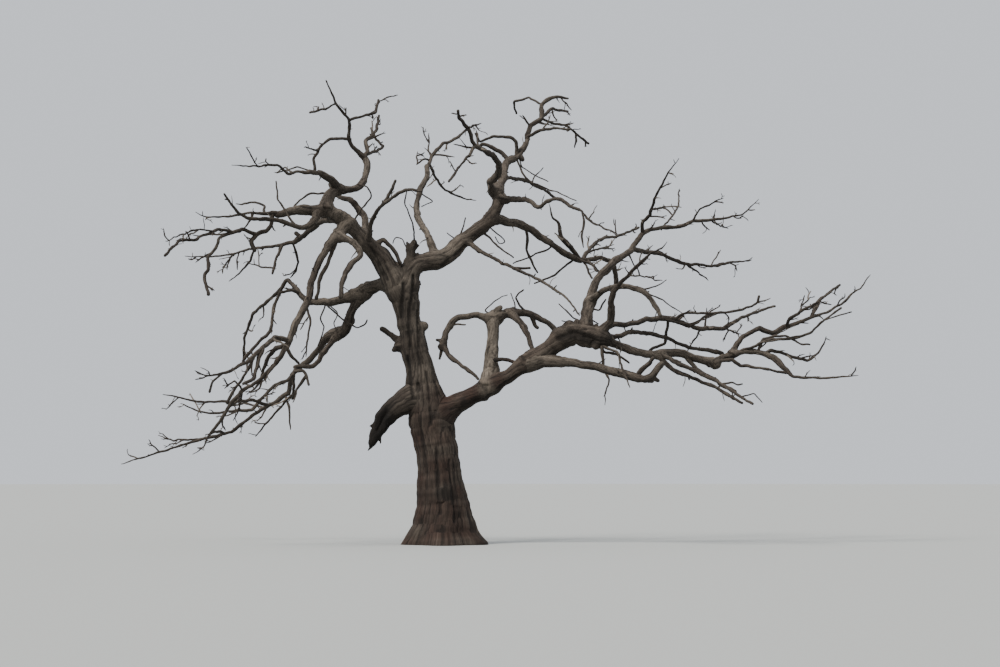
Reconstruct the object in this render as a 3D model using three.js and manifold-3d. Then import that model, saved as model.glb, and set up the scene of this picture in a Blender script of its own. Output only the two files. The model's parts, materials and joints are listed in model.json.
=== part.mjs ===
// A dead, bare, wide-spreading tree, cut flat at ground level.
// Millimetres, +Z up. The origin is on the flat cut under the trunk, and +X points to the crown's long side.
import * as THREE from "three";
import { mergeVertices } from "three/addons/utils/BufferGeometryUtils.js";
import Module from "manifold-3d";

const wasm = await Module();
wasm.setup();

// Driving dimensions, in metres unless a name says otherwise
const METRE = 1000;
// Routes are read as they look from this point: level with an eye, 45 m in front of the trunk.
const EYE = { across: 1.25, up: 1.6, distance: 45 };
const CLEARANCE = 0.0004;
const TRUNK_GIRTHS = [1.28, 1.17, 1.09, 1.03, 0.97, 0.86, 0.69, 0.61, 0.55, 0.52, 0.44];
const TRUNK_ROUTE = [[0.02, -0.3], [-0.1, 1.5], [-0.32, 2.8], [-0.58, 4.0], [-0.81, 5.0], [-1.02, 6.1]];
const TRUNK_SIDES = 24;
const TRUNK_RINGS = 20;
const ROOT_FLARE = { roots: 5, spread: 0.42, height: 0.42, lobes: 0.16, turn: 0.6 };
const COLLAR = { swell: 0.3, length: 0.8 };
const TWIG_TIP = 0.03;
// The sides of a limb by its girth at the root, and of a twig
const SIDES = [{ over: 0.3, sides: 10 }, { over: 0.2, sides: 8 }, { over: 0, sides: 6 }];
const RINGS_PER_BEND = 1.5;
const TWIG_SIDES = 3;
const SWAY = 0.12;

// A side twig springs every spacing along a leading twig, somewhere in the given share of it. It turns off
// by an angle in turn, is shorter by up to the share shortened near the tip, and bends crookedly.
const SIDE_TWIG = {
  spacing: 0.66, within: [0.6, 1], spare: 0.2, turn: [0.5, 1.15], length: [0.28, 0.62], shortened: 1 / 3,
  lift: 0.12, crook: 0.5, bends: 2, girth: 0.6,
};
const BOUGH_SEED = 7;
const SIDE_TWIG_SEED = 1000;
// How far in depth a twig may leave the room of its own leading twigs, and how near it may pass a limb
const ROOM_DEPTH = 0.5;
const ROOM_POINTS = 20;
const PASSING_GAP = 0.06;
const BALL_SPACING = 0.05;
// How finely the place on a limb that looks nearest to a point is looked for
const NEAREST_STEPS = 80;
const RING_PARTS = 8;
const MERGED_MILLIMETRES = 1e-4;
const GROUND_SIZE = 6;

// Limbs. Each springs from the limb named by on, at the point nearest to the start of its route. A route
// is [across, up] as seen, and its last point adds how far behind the trunk the limb ends.
const BOUGHS = [
  {
    name: "broken_low_limb", on: "trunk", girth: [0.36, 0.4, 0.36, 0.16],
    route: [[-0.6, 3.38], [-1.0, 3.2], [-1.34, 2.88], [-1.64, 2.3, -0.3]],
  },
  {
    name: "left_leader", on: "trunk", girth: [0.42, 0.38, 0.35, 0.28, 0.2, 0.14],
    route: [
      [-0.98, 5.55], [-1.43, 6.42], [-1.88, 6.92], [-2.34, 7.4], [-2.75, 7.57], [-3.4, 7.6],
      [-3.85, 7.5, -1.0],
    ],
  },
  {
    name: "right_leader", on: "trunk", girth: [0.4, 0.35, 0.34, 0.32, 0.28, 0.25, 0.22],
    route: [
      [-1.0, 5.75], [-0.68, 6.35], [-0.1, 6.48], [0.42, 6.9], [1.05, 7.45], [1.22, 7.8], [1.14, 8.1, 0.3],
    ],
  },
  {
    name: "low_left_bough", on: "trunk", girth: [0.27, 0.26, 0.2, 0.14],
    route: [[-1.0, 5.8], [-1.55, 5.88], [-2.2, 5.6], [-2.65, 5.5], [-3.15, 5.5, 0.8]],
  },
  {
    name: "fork_snag", on: "trunk", girth: [0.26, 0.18, 0.13],
    route: [[-0.92, 5.95], [-0.82, 6.5], [-0.72, 6.87, -0.1]],
  },
  {
    name: "fork_arch", on: "left_leader", girth: [0.1, 0.08, 0.07],
    route: [[-1.6, 6.82], [-1.43, 6.9], [-1.2, 6.7], [-1.0, 6.4, -0.2]],
  },
  {
    name: "left_riser", on: "left_leader", girth: [0.25, 0.2, 0.15, 0.13, 0.12],
    route: [[-2.72, 7.6], [-2.68, 7.93], [-2.36, 8.08], [-2.0, 8.14], [-1.8, 8.55], [-1.85, 8.87, 0.7]],
  },
  {
    name: "left_riser_arm", on: "left_riser", girth: [0.16, 0.12, 0.08],
    route: [[-2.42, 8.1], [-2.62, 8.3], [-2.87, 8.44], [-3.3, 8.5, -1.2]],
  },
  {
    name: "crossing_bough", on: "left_leader", girth: [0.15, 0.12, 0.05],
    route: [[-1.8, 7.0], [-1.85, 7.4], [-2.15, 7.8], [-2.5, 7.97], [-2.65, 8.2, 0.7]],
  },
  {
    name: "centre_left_bough", on: "left_leader", girth: [0.11, 0.08, 0.07, 0.05],
    route: [[-1.75, 6.85], [-1.64, 7.45], [-1.25, 7.87], [-0.85, 8.07], [-0.55, 8.03, -2.4]],
  },
  {
    name: "left_under_bough", on: "left_leader", girth: [0.13, 0.1, 0.07, 0.04],
    route: [
      [-2.9, 7.55], [-3.14, 7.24], [-3.6, 7.28], [-3.9, 7.4], [-4.6, 7.45], [-4.9, 7.75],
      [-5.05, 7.98, -2.7],
    ],
  },
  {
    name: "left_third_bough", on: "left_leader", girth: [0.16, 0.12, 0.1],
    route: [[-2.45, 7.45], [-2.8, 7.36], [-3.13, 7.12], [-3.45, 6.87, 0.9]],
  },
  {
    name: "drooping_bough", on: "left_leader", girth: [0.2, 0.17, 0.15, 0.14, 0.13],
    route: [
      [-2.2, 7.35], [-2.47, 7.03], [-2.8, 6.58], [-3.03, 6.05], [-3.12, 5.55], [-3.4, 5.03],
      [-3.57, 4.6, -1.8],
    ],
  },
  {
    name: "knee_bough", on: "drooping_bough", girth: [0.15, 0.14, 0.12, 0.1, 0.09],
    route: [[-2.42, 7.02], [-2.08, 6.82], [-1.95, 6.56], [-2.15, 6.37], [-2.33, 6.0], [-2.38, 5.62, -1.8]],
  },
  {
    name: "lower_left_bough", on: "low_left_bough", girth: [0.21, 0.2, 0.18, 0.13, 0.1, 0.08],
    route: [
      [-1.8, 5.75], [-2.12, 5.3], [-2.3, 4.84], [-2.66, 4.72], [-2.97, 4.28], [-3.46, 3.85],
      [-3.54, 3.4, 2.0],
    ],
  },
  {
    name: "lower_left_fork", on: "lower_left_bough", girth: [0.12, 0.1, 0.08],
    route: [[-2.4, 4.78], [-2.75, 4.35], [-2.95, 4.08], [-3.4, 4.0, 0.5]],
  },
  {
    name: "centre_bough", on: "right_leader", girth: [0.16, 0.13, 0.11, 0.1],
    route: [[-0.2, 6.48], [-0.4, 7.0], [-0.65, 7.5], [-0.58, 8.05], [-0.44, 8.35], [-0.42, 8.6, 1.8]],
  },
  {
    name: "inner_top_bough", on: "right_leader", girth: [0.15, 0.14, 0.12, 0.11],
    route: [[1.15, 8.0], [1.0, 8.22], [1.2, 8.46], [1.2, 8.72], [1.0, 8.94, -1.2]],
  },
  {
    name: "outer_top_bough", on: "right_leader", girth: [0.17, 0.14, 0.12, 0.1],
    route: [[1.16, 7.98], [1.3, 8.3], [1.41, 8.69], [1.66, 8.85], [1.9, 9.25, 1.5]],
  },
  {
    name: "side_top_bough", on: "outer_top_bough", girth: [0.08, 0.07, 0.05],
    route: [[1.3, 8.35], [1.6, 8.33], [2.0, 8.22], [2.5, 7.9, 3.0]],
  },
  {
    name: "middle_bough", on: "right_leader", girth: [0.17, 0.1, 0.08, 0.07, 0.06],
    route: [
      [1.2, 7.9], [1.6, 7.86], [1.95, 7.82], [2.12, 7.68], [2.36, 7.82], [2.64, 7.85], [2.88, 7.68],
      [3.05, 7.62, -2.2],
    ],
  },
  {
    name: "upper_right_bough", on: "right_leader", girth: [0.19, 0.15, 0.13, 0.12],
    route: [[1.05, 7.42], [1.8, 7.24], [2.36, 6.87], [2.7, 6.63], [3.1, 6.45, 1.7]],
  },
  {
    name: "under_right_bough", on: "right_leader", girth: [0.1, 0.07, 0.06, 0.05, 0.03],
    route: [[0.5, 6.85], [0.9, 6.6], [1.5, 6.3], [2.15, 6.0], [2.75, 5.6], [3.05, 5.2, -3.2]],
  },
  {
    name: "low_right_bough", on: "trunk", girth: [0.54, 0.43, 0.38, 0.35, 0.32, 0.46, 0.36],
    route: [
      [-0.25, 2.85], [0.4, 3.25], [1.0, 3.55], [2.0, 4.2], [2.9, 4.76], [3.3, 4.74], [3.58, 4.68, -0.9],
    ],
  },
  {
    name: "arch_post", on: "low_right_bough", girth: [0.28, 0.26, 0.23],
    route: [[0.96, 3.5], [1.04, 4.0], [1.1, 4.8], [1.12, 5.2, 0.4]],
  },
  {
    name: "arch_left", on: "arch_post", girth: [0.15, 0.14, 0.12],
    route: [[1.08, 5.1], [0.6, 5.2], [0.15, 5.03], [-0.08, 4.45, 0.2]],
  },
  {
    name: "arch_tail", on: "arch_left", girth: [0.1, 0.08, 0.06],
    route: [[-0.08, 4.48], [0.1, 4.25], [0.4, 4.05], [0.75, 3.73, -0.7]],
  },
  {
    name: "arch_right", on: "arch_post", girth: [0.16, 0.13, 0.1],
    route: [[1.1, 5.1], [1.5, 5.27], [1.95, 5.2], [2.4, 4.97], [2.55, 4.76, 0.8]],
  },
  {
    name: "arch_inner", on: "arch_right", girth: [0.14, 0.12, 0.09],
    route: [[1.5, 5.27], [1.8, 4.9], [1.93, 4.6], [1.97, 4.42, -0.3]],
  },
  {
    name: "under_bough", on: "low_right_bough", girth: [0.24, 0.2, 0.18, 0.17, 0.12],
    route: [[1.9, 4.12], [2.5, 4.14], [3.2, 4.05], [4.0, 3.89], [4.64, 3.76], [4.93, 4.06, -2.0]],
  },
  {
    name: "long_right_bough", on: "low_right_bough", girth: [0.2, 0.17, 0.15, 0.15, 0.17],
    route: [
      [3.5, 4.66], [4.1, 4.45], [4.7, 4.29], [5.02, 4.33], [5.3, 4.33], [5.75, 4.2], [6.17, 4.07, -0.5],
    ],
  },
  {
    name: "far_right_bough", on: "long_right_bough", girth: [0.12, 0.1, 0.1, 0.11],
    route: [[6.1, 4.1], [6.45, 4.27], [7.0, 4.37], [7.3, 4.31, -0.3]],
  },
  {
    name: "furthest_right_bough", on: "far_right_bough", girth: [0.12, 0.1, 0.09],
    route: [[6.5, 4.3], [6.7, 4.62], [7.1, 4.88], [7.45, 4.81], [7.75, 4.93, 0.4]],
  },
  {
    name: "trailing_right_bough", on: "long_right_bough", girth: [0.1, 0.08, 0.05],
    route: [[4.95, 4.15], [5.5, 4.0], [6.1, 3.72], [6.7, 3.36], [7.0, 3.16, -2.7]],
  },
  {
    name: "lower_trailing_bough", on: "long_right_bough", girth: [0.09, 0.08, 0.06],
    route: [[4.85, 4.2], [5.2, 3.93], [5.6, 3.77], [6.1, 3.56], [6.75, 3.2, -1.6]],
  },
  {
    name: "rising_bough", on: "low_right_bough", girth: [0.22, 0.19, 0.17, 0.13],
    route: [[3.12, 4.8], [3.25, 5.3], [3.46, 6.0], [3.85, 6.4], [4.25, 6.7, 0.4]],
  },
  {
    name: "bare_arch", on: "rising_bough", girth: [0.12, 0.11, 0.11, 0.1, 0.08],
    route: [
      [3.28, 5.45], [3.6, 5.75], [3.98, 5.86], [4.3, 5.83], [4.6, 5.67], [4.78, 5.45], [4.9, 5.2, -2.0],
    ],
  },
  {
    name: "second_rising_bough", on: "low_right_bough", girth: [0.17, 0.13, 0.12],
    route: [[3.5, 4.85], [3.75, 5.05], [3.8, 5.6], [3.9, 5.88, -1.5]],
  },
  {
    name: "slender_bough", on: "low_right_bough", girth: [0.11, 0.09, 0.07, 0.08],
    route: [
      [3.5, 4.66], [3.9, 4.71], [4.2, 4.81], [4.95, 4.7], [5.55, 4.46], [5.95, 4.42], [6.3, 4.32, 1.4],
    ],
  },
  {
    name: "middle_right_bough", on: "low_right_bough", girth: [0.17, 0.12, 0.11, 0.11],
    route: [[3.4, 4.75], [3.75, 4.96], [4.3, 5.0], [4.6, 5.1], [4.95, 5.13, 0.3]],
  },
];

// Masses of bare twigs. The first route leads on from the tip of the bough named by on, and each of the
// others springs from the nearest leading twig before it. Side twigs then follow by the seeded rule.
// Girths are spaced evenly from root to tip.
const MASSES = [
  {
    name: "left_twigs", on: "left_leader", seed: 12,
    leads: [
      {
        girth: [0.1, 0.05, 0.04, 0.03],
        route: [[-3.9, 7.52], [-4.5, 7.53], [-5.0, 7.47], [-5.5, 7.44], [-5.72, 7.57, -1.5]],
      },
      {
        girth: [0.05, 0.035],
        route: [[-4.15, 7.56], [-4.14, 7.72], [-4.4, 7.8], [-4.68, 7.74], [-4.8, 7.75, -0.3]],
      },
      {
        girth: [0.09, 0.09],
        route: [
          [-3.95, 7.48], [-3.97, 7.26], [-4.1, 7.12], [-4.33, 7.07], [-4.46, 6.88], [-4.37, 6.68, -0.9],
        ],
      },
      {
        girth: [0.08, 0.07, 0.07, 0.07],
        route: [
          [-4.33, 7.07], [-4.6, 7.17], [-4.95, 7.06], [-5.19, 6.96], [-5.23, 6.73], [-5.43, 6.54],
          [-5.4, 6.22], [-5.5, 6.14], [-5.42, 5.66, -2.2],
        ],
      },
      {
        girth: [0.06, 0.055],
        route: [[-4.85, 7.14], [-5.2, 7.17], [-5.7, 6.93], [-6.1, 6.9], [-6.41, 6.57, -3.3]],
      },
      { girth: [0.04, 0.03], route: [[-5.3, 7.14], [-5.65, 7.18], [-6.4, 6.9, -4.0]] },
      { girth: [0.05, 0.04], route: [[-4.4, 7.52], [-4.42, 7.37], [-4.6, 7.18, -1.2]] },
    ],
  },
  {
    name: "left_third_twigs", on: "left_third_bough", seed: 13,
    leads: [
      {
        girth: [0.09, 0.05, 0.035, 0.03],
        route: [[-3.5, 6.86], [-3.9, 6.78], [-4.45, 6.73], [-4.85, 6.6], [-5.4, 6.52], [-5.95, 6.55, 3.0]],
      },
      { girth: [0.06, 0.05], route: [[-3.72, 6.82], [-3.84, 6.56], [-3.93, 6.15, 0.7]] },
      { girth: [0.035, 0.03], route: [[-3.92, 6.27], [-4.2, 6.3], [-4.5, 6.4, 1.2]] },
      {
        girth: [0.05, 0.04],
        route: [[-3.48, 6.85], [-3.38, 6.6], [-3.34, 6.4], [-3.42, 6.22], [-3.55, 6.04, 1.8]],
      },
      { girth: [0.05, 0.03], route: [[-4.33, 6.72], [-4.45, 6.45], [-4.63, 6.24], [-4.92, 5.97, 2.2]] },
      { girth: [0.045, 0.035], route: [[-4.8, 6.6], [-5.08, 6.3, 3.4]] },
    ],
  },
  {
    name: "top_left_twigs", on: "left_riser", seed: 14,
    leads: [
      {
        girth: [0.12, 0.07, 0.05, 0.04],
        route: [
          [-1.95, 8.92], [-2.15, 9.05], [-2.23, 9.3], [-2.22, 9.72], [-2.53, 10.1], [-2.65, 10.38],
          [-2.76, 10.62, -0.4],
        ],
      },
      { girth: [0.04, 0.05], route: [[-2.5, 10.08], [-2.75, 9.95], [-3.12, 9.87, 0.7]] },
      { girth: [0.055, 0.05], route: [[-2.22, 9.7], [-1.94, 9.77], [-1.6, 9.87], [-1.56, 10.15, 1.0]] },
      { girth: [0.03, 0.03], route: [[-1.57, 10.08], [-1.4, 10.2], [-1.1, 10.28, 1.8]] },
      {
        girth: [0.07, 0.05, 0.06],
        route: [[-2.23, 9.25], [-2.65, 9.27], [-2.86, 9.1], [-3.02, 8.8], [-3.0, 8.54, 0.3]],
      },
      { girth: [0.04, 0.03], route: [[-2.95, 9.0], [-3.25, 9.07, -0.6]] },
      {
        girth: [0.1, 0.07, 0.05],
        route: [[-1.87, 8.88], [-1.78, 8.95], [-1.82, 9.2], [-1.57, 9.47], [-1.52, 9.8, 2.0]],
      },
      {
        girth: [0.06, 0.045],
        route: [[-1.83, 8.86], [-1.6, 8.95], [-1.43, 9.08], [-1.57, 9.22], [-1.72, 9.5, 2.4]],
      },
    ],
  },
  {
    name: "left_arm_twigs", on: "left_riser_arm", seed: 15,
    leads: [
      {
        girth: [0.06, 0.045, 0.03],
        route: [[-3.35, 8.5], [-3.6, 8.43], [-3.85, 8.65], [-4.25, 8.62], [-4.88, 8.66, -2.6]],
      },
      { girth: [0.03, 0.03], route: [[-4.3, 8.63], [-4.57, 9.07, -3.0]] },
      { girth: [0.035, 0.03], route: [[-3.5, 8.46], [-3.7, 8.6], [-3.88, 8.48, -0.8]] },
    ],
  },
  {
    name: "low_left_twigs", on: "low_left_bough", seed: 16,
    leads: [
      {
        girth: [0.11, 0.07, 0.06, 0.05],
        route: [
          [-3.2, 5.55], [-3.45, 5.85], [-3.6, 6.02], [-3.9, 5.65], [-4.4, 5.2], [-4.56, 4.75],
          [-4.58, 4.15, 2.6],
        ],
      },
      {
        girth: [0.07, 0.06],
        route: [[-3.72, 5.93], [-3.9, 5.4], [-3.98, 4.85], [-4.3, 4.53], [-4.6, 4.14, 1.0]],
      },
      { girth: [0.05, 0.04], route: [[-3.25, 5.6], [-3.08, 5.1], [-3.14, 4.6], [-3.17, 4.25, 0.5]] },
      { girth: [0.06, 0.05], route: [[-3.3, 5.68], [-3.5, 5.76], [-3.75, 5.73, 0.6]] },
    ],
  },
  {
    name: "drooping_twigs", on: "drooping_bough", seed: 17,
    leads: [
      {
        girth: [0.13, 0.09, 0.07, 0.08, 0.06, 0.03],
        route: [
          [-3.6, 4.5], [-3.75, 4.25], [-4.0, 3.9], [-4.25, 3.69], [-4.6, 3.48], [-4.85, 3.2],
          [-5.03, 2.88], [-5.38, 2.44], [-5.47, 2.2], [-5.72, 2.04, -1.5],
        ],
      },
      {
        girth: [0.1, 0.1, 0.06, 0.04],
        route: [[-3.6, 4.62], [-3.86, 4.7], [-4.1, 4.5], [-4.5, 4.12], [-4.96, 3.9], [-5.66, 3.73, -3.8]],
      },
      { girth: [0.035, 0.03], route: [[-5.4, 3.82], [-5.7, 3.94, -4.2]] },
      { girth: [0.04, 0.05], route: [[-5.05, 3.88], [-5.3, 3.66], [-5.36, 3.45, -3.2]] },
      { girth: [0.09, 0.06], route: [[-4.15, 4.42], [-4.27, 4.05], [-4.36, 3.77], [-4.58, 3.65, -3.0]] },
      { girth: [0.06, 0.06], route: [[-4.28, 4.26], [-4.5, 3.93], [-4.76, 3.53], [-4.95, 3.2, -2.4]] },
      {
        girth: [0.09, 0.07, 0.04],
        route: [
          [-3.62, 4.55], [-3.85, 4.45], [-4.02, 4.27], [-4.13, 3.95], [-4.22, 3.62], [-4.5, 3.38, -0.8],
        ],
      },
      { girth: [0.06, 0.03], route: [[-4.95, 3.2], [-5.6, 3.2], [-6.4, 3.4, -2.4]] },
      { girth: [0.05, 0.03], route: [[-5.0, 3.0], [-5.5, 2.96], [-6.0, 3.17, -1.2]] },
      { girth: [0.07, 0.06], route: [[-3.57, 4.5], [-3.52, 4.32], [-3.33, 4.1, -1.5]] },
      { girth: [0.045, 0.035], route: [[-4.62, 3.5], [-4.8, 3.71], [-5.02, 3.52, -2.2]] },
      { girth: [0.045, 0.03], route: [[-4.62, 3.48], [-4.66, 3.2], [-4.8, 2.8, -1.0]] },
      { girth: [0.07, 0.06], route: [[-4.9, 3.12], [-4.75, 3.24], [-4.4, 3.27], [-4.05, 3.15, -0.6]] },
      { girth: [0.06, 0.05], route: [[-5.3, 2.5], [-5.1, 2.56], [-5.0, 2.5, -1.0]] },
    ],
  },
  {
    name: "furthest_left_twigs", on: "lower_left_bough", seed: 18,
    leads: [
      {
        girth: [0.09, 0.065, 0.05, 0.04],
        route: [
          [-3.62, 3.36], [-3.85, 3.22], [-4.2, 3.03], [-4.57, 2.77], [-4.85, 2.54], [-5.8, 2.3],
          [-6.5, 2.08], [-7.33, 1.82, 2.2],
        ],
      },
      { girth: [0.045, 0.03], route: [[-5.4, 2.4], [-6.2, 2.34], [-6.5, 2.45, 3.2]] },
      { girth: [0.05, 0.04], route: [[-3.56, 3.32], [-3.54, 3.0], [-3.53, 2.6, 1.7]] },
      { girth: [0.045, 0.035], route: [[-4.1, 3.1], [-4.55, 3.2], [-4.95, 3.1, 3.4]] },
    ],
  },
  {
    name: "lower_fork_twigs", on: "lower_left_fork", seed: 19,
    leads: [
      {
        girth: [0.07, 0.065, 0.06],
        route: [[-3.46, 3.83], [-3.6, 3.71], [-3.9, 3.6], [-4.2, 3.26], [-4.4, 3.04], [-4.9, 3.02, -0.4]],
      },
      {
        girth: [0.06, 0.04],
        route: [[-3.5, 3.95], [-3.45, 3.4], [-3.75, 3.1], [-4.05, 2.75], [-4.3, 2.45, 0.9]],
      },
      { girth: [0.065, 0.05], route: [[-3.44, 3.92], [-3.22, 3.93], [-3.08, 3.6, 0.1]] },
      { girth: [0.065, 0.05], route: [[-3.12, 3.83], [-3.3, 3.58], [-3.48, 3.3, 0.5]] },
    ],
  },
  {
    name: "centre_twigs", on: "centre_bough", seed: 20,
    leads: [
      {
        girth: [0.08, 0.065, 0.05],
        route: [[-0.34, 8.8], [-0.2, 9.02], [-0.05, 9.15], [0.27, 9.27], [0.52, 9.48, 3.2]],
      },
      { girth: [0.045, 0.035], route: [[-0.37, 8.73], [-0.5, 8.8], [-0.68, 8.66, 1.6]] },
      { girth: [0.035, 0.03], route: [[-0.66, 8.68], [-0.66, 8.85], [-0.47, 8.94, 2.2]] },
      { girth: [0.035, 0.03], route: [[-0.33, 8.82], [-0.38, 8.98], [-0.37, 9.38, 2.6]] },
      {
        girth: [0.06, 0.045, 0.03],
        route: [[-0.38, 8.68], [-0.25, 8.4], [-0.02, 8.07], [0.3, 7.92], [0.7, 7.82, 3.9]],
      },
    ],
  },
  {
    name: "inner_top_twigs", on: "inner_top_bough", seed: 21,
    leads: [
      {
        girth: [0.1, 0.08, 0.06],
        route: [[0.85, 9.0], [0.68, 9.1], [0.57, 9.3], [0.53, 9.5], [0.3, 9.74], [0.28, 9.9, -3.0]],
      },
      { girth: [0.03, 0.03], route: [[0.3, 9.85], [0.13, 9.86, -2.6]] },
      { girth: [0.045, 0.035], route: [[0.54, 9.5], [0.82, 9.63, -3.0]] },
      {
        girth: [0.08, 0.045, 0.055],
        route: [[0.66, 9.1], [0.6, 8.92], [0.4, 8.7], [0.22, 8.48], [0.08, 8.28, -3.2]],
      },
      { girth: [0.045, 0.035], route: [[0.78, 9.04], [0.73, 9.26], [0.71, 9.45, -0.7]] },
    ],
  },
  {
    name: "outer_top_twigs", on: "outer_top_bough", seed: 22,
    leads: [
      {
        girth: [0.1, 0.1, 0.09, 0.05],
        route: [[1.93, 9.45], [1.97, 9.58], [2.2, 9.72], [2.2, 10.05], [2.4, 10.2], [2.79, 10.21, 1.9]],
      },
      { girth: [0.045, 0.045], route: [[2.2, 10.05], [1.92, 10.2], [1.58, 10.12], [1.61, 9.85, 2.6]] },
      { girth: [0.065, 0.05], route: [[2.2, 9.75], [2.45, 9.96], [2.58, 9.93], [2.8, 9.89, 3.0]] },
      { girth: [0.05, 0.045], route: [[2.2, 9.7], [2.5, 9.6], [2.77, 9.57], [3.28, 9.15, 3.4]] },
      { girth: [0.045, 0.04], route: [[3.0, 9.35], [2.96, 9.05, 2.6]] },
      { girth: [0.065, 0.045], route: [[1.9, 9.28], [2.1, 9.42], [2.5, 9.51], [2.84, 9.47, 0.3]] },
      { girth: [0.045, 0.04], route: [[1.94, 9.55], [1.76, 9.8, 1.4]] },
    ],
  },
  {
    name: "middle_twigs", on: "middle_bough", seed: 23,
    leads: [
      { girth: [0.05, 0.04], route: [[3.12, 7.58], [3.37, 7.3], [3.6, 7.21], [3.93, 7.06, -3.8]] },
      { girth: [0.05, 0.04], route: [[3.12, 7.58], [3.17, 7.38], [3.13, 7.0], [3.15, 6.75, -2.6]] },
    ],
  },
  {
    name: "upper_right_twigs", on: "upper_right_bough", seed: 24,
    leads: [
      {
        girth: [0.1, 0.09, 0.1],
        route: [[3.2, 6.46], [3.55, 6.5], [3.8, 6.42], [3.88, 6.2], [3.92, 5.92, 2.8]],
      },
      {
        girth: [0.1, 0.1, 0.06, 0.03],
        route: [[3.12, 6.5], [2.94, 6.66], [2.63, 6.96], [2.6, 7.3], [2.45, 7.45], [2.37, 7.75, 1.2]],
      },
      {
        girth: [0.09, 0.06, 0.045],
        route: [[3.15, 6.5], [3.3, 6.72], [3.52, 6.93], [4.0, 7.03], [4.42, 7.2, 4.0]],
      },
      { girth: [0.045, 0.035], route: [[3.22, 6.66], [3.55, 6.72], [3.87, 6.72, 3.6]] },
      { girth: [0.05, 0.045], route: [[3.15, 6.45], [3.26, 6.2], [3.37, 6.04, 1.5]] },
      { girth: [0.05, 0.045], route: [[3.25, 6.46], [3.47, 6.2, 0.9]] },
    ],
  },
  {
    name: "broken_end_twigs", on: "low_right_bough", seed: 25,
    leads: [
      {
        girth: [0.1, 0.06, 0.04, 0.03],
        route: [[3.58, 4.5], [3.6, 3.95], [3.73, 3.75], [3.66, 3.45], [3.65, 3.15, -1.7]],
      },
      { girth: [0.06, 0.035], route: [[3.62, 4.48], [3.92, 4.38], [4.0, 4.1], [4.2, 3.55, -2.3]] },
    ],
  },
  {
    name: "far_right_twigs", on: "far_right_bough", seed: 26,
    leads: [
      {
        girth: [0.12, 0.12, 0.06, 0.05, 0.045, 0.03],
        route: [[7.35, 4.28], [7.6, 4.13], [7.77, 3.93], [7.9, 3.79], [8.6, 3.76], [9.4, 3.82, -1.2]],
      },
      {
        girth: [0.07, 0.06, 0.04],
        route: [[7.3, 4.36], [7.42, 4.4], [7.8, 4.27], [8.25, 4.17], [8.52, 4.33], [8.68, 4.68, 0.8]],
      },
    ],
  },
  {
    name: "furthest_right_twigs", on: "furthest_right_bough", seed: 27,
    leads: [
      {
        girth: [0.085, 0.07, 0.045, 0.045, 0.03],
        route: [[7.8, 4.94], [8.3, 5.13], [8.7, 5.27], [9.03, 5.45], [9.49, 5.85], [9.69, 6.14, 0.8]],
      },
      { girth: [0.07, 0.05], route: [[8.35, 5.15], [8.42, 5.35], [8.56, 5.57], [9.0, 5.88, 1.8]] },
      { girth: [0.07, 0.05], route: [[7.78, 4.95], [7.88, 5.16], [8.2, 5.34], [8.5, 5.48, -0.6]] },
      { girth: [0.035, 0.03], route: [[8.07, 5.25], [8.12, 5.4], [8.35, 5.62, 1.2]] },
    ],
  },
  {
    name: "middle_right_twigs", on: "middle_right_bough", seed: 28,
    leads: [
      {
        girth: [0.13, 0.09, 0.085, 0.06, 0.045],
        route: [
          [5.1, 5.12], [5.35, 5.03], [5.8, 4.89], [6.4, 4.91], [6.57, 5.04], [7.03, 5.26],
          [7.52, 5.42, 2.6],
        ],
      },
      {
        girth: [0.06, 0.05, 0.045],
        route: [[5.2, 5.15], [5.45, 5.26], [6.2, 5.24], [6.75, 5.31], [7.11, 5.47], [7.15, 5.6, 0.2]],
      },
      { girth: [0.045, 0.035], route: [[6.4, 4.9], [6.68, 4.74, 3.0]] },
      { girth: [0.045, 0.03], route: [[5.82, 4.88], [5.7, 4.68], [5.55, 4.45, 2.0]] },
      {
        girth: [0.065, 0.06],
        route: [[5.08, 5.08], [5.05, 4.8], [5.0, 4.55], [4.72, 4.45], [4.65, 4.38, 1.2]],
      },
      { girth: [0.06, 0.05], route: [[5.55, 5.0], [5.75, 5.02], [5.92, 5.17], [6.2, 5.22, 0.9]] },
    ],
  },
  {
    name: "rising_twigs", on: "rising_bough", seed: 29,
    leads: [
      {
        girth: [0.12, 0.09, 0.075, 0.06, 0.04, 0.03],
        route: [
          [4.28, 6.76], [4.5, 7.06], [4.7, 7.17], [5.1, 7.21], [5.45, 7.24], [5.65, 7.34], [6.15, 7.38],
          [6.8, 7.5], [7.18, 7.85, 1.6],
        ],
      },
      { girth: [0.04, 0.03], route: [[6.1, 7.37], [6.45, 7.17, 2.6]] },
      { girth: [0.04, 0.03], route: [[5.65, 7.35], [5.8, 7.62], [6.37, 7.88, 0.2]] },
      {
        girth: [0.08, 0.07, 0.05, 0.04, 0.03],
        route: [[4.51, 7.1], [4.5, 7.33], [4.68, 7.5], [4.78, 7.85], [5.0, 8.3], [5.33, 8.79, -1.0]],
      },
      { girth: [0.04, 0.035], route: [[4.75, 7.62], [5.12, 7.7, -1.4]] },
      { girth: [0.045, 0.035], route: [[4.98, 7.24], [5.35, 7.7], [5.33, 8.1, 2.2]] },
      {
        girth: [0.1, 0.075, 0.06, 0.06, 0.04],
        route: [[4.3, 6.68], [4.55, 6.64], [4.9, 6.62], [5.4, 6.38], [6.1, 6.33], [7.0, 6.46, 3.2]],
      },
      { girth: [0.045, 0.03], route: [[5.5, 6.35], [6.0, 6.0, 2.8]] },
    ],
  },
  {
    name: "second_rising_twigs", on: "second_rising_bough", seed: 30,
    leads: [
      {
        girth: [0.09, 0.07, 0.05, 0.035],
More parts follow.
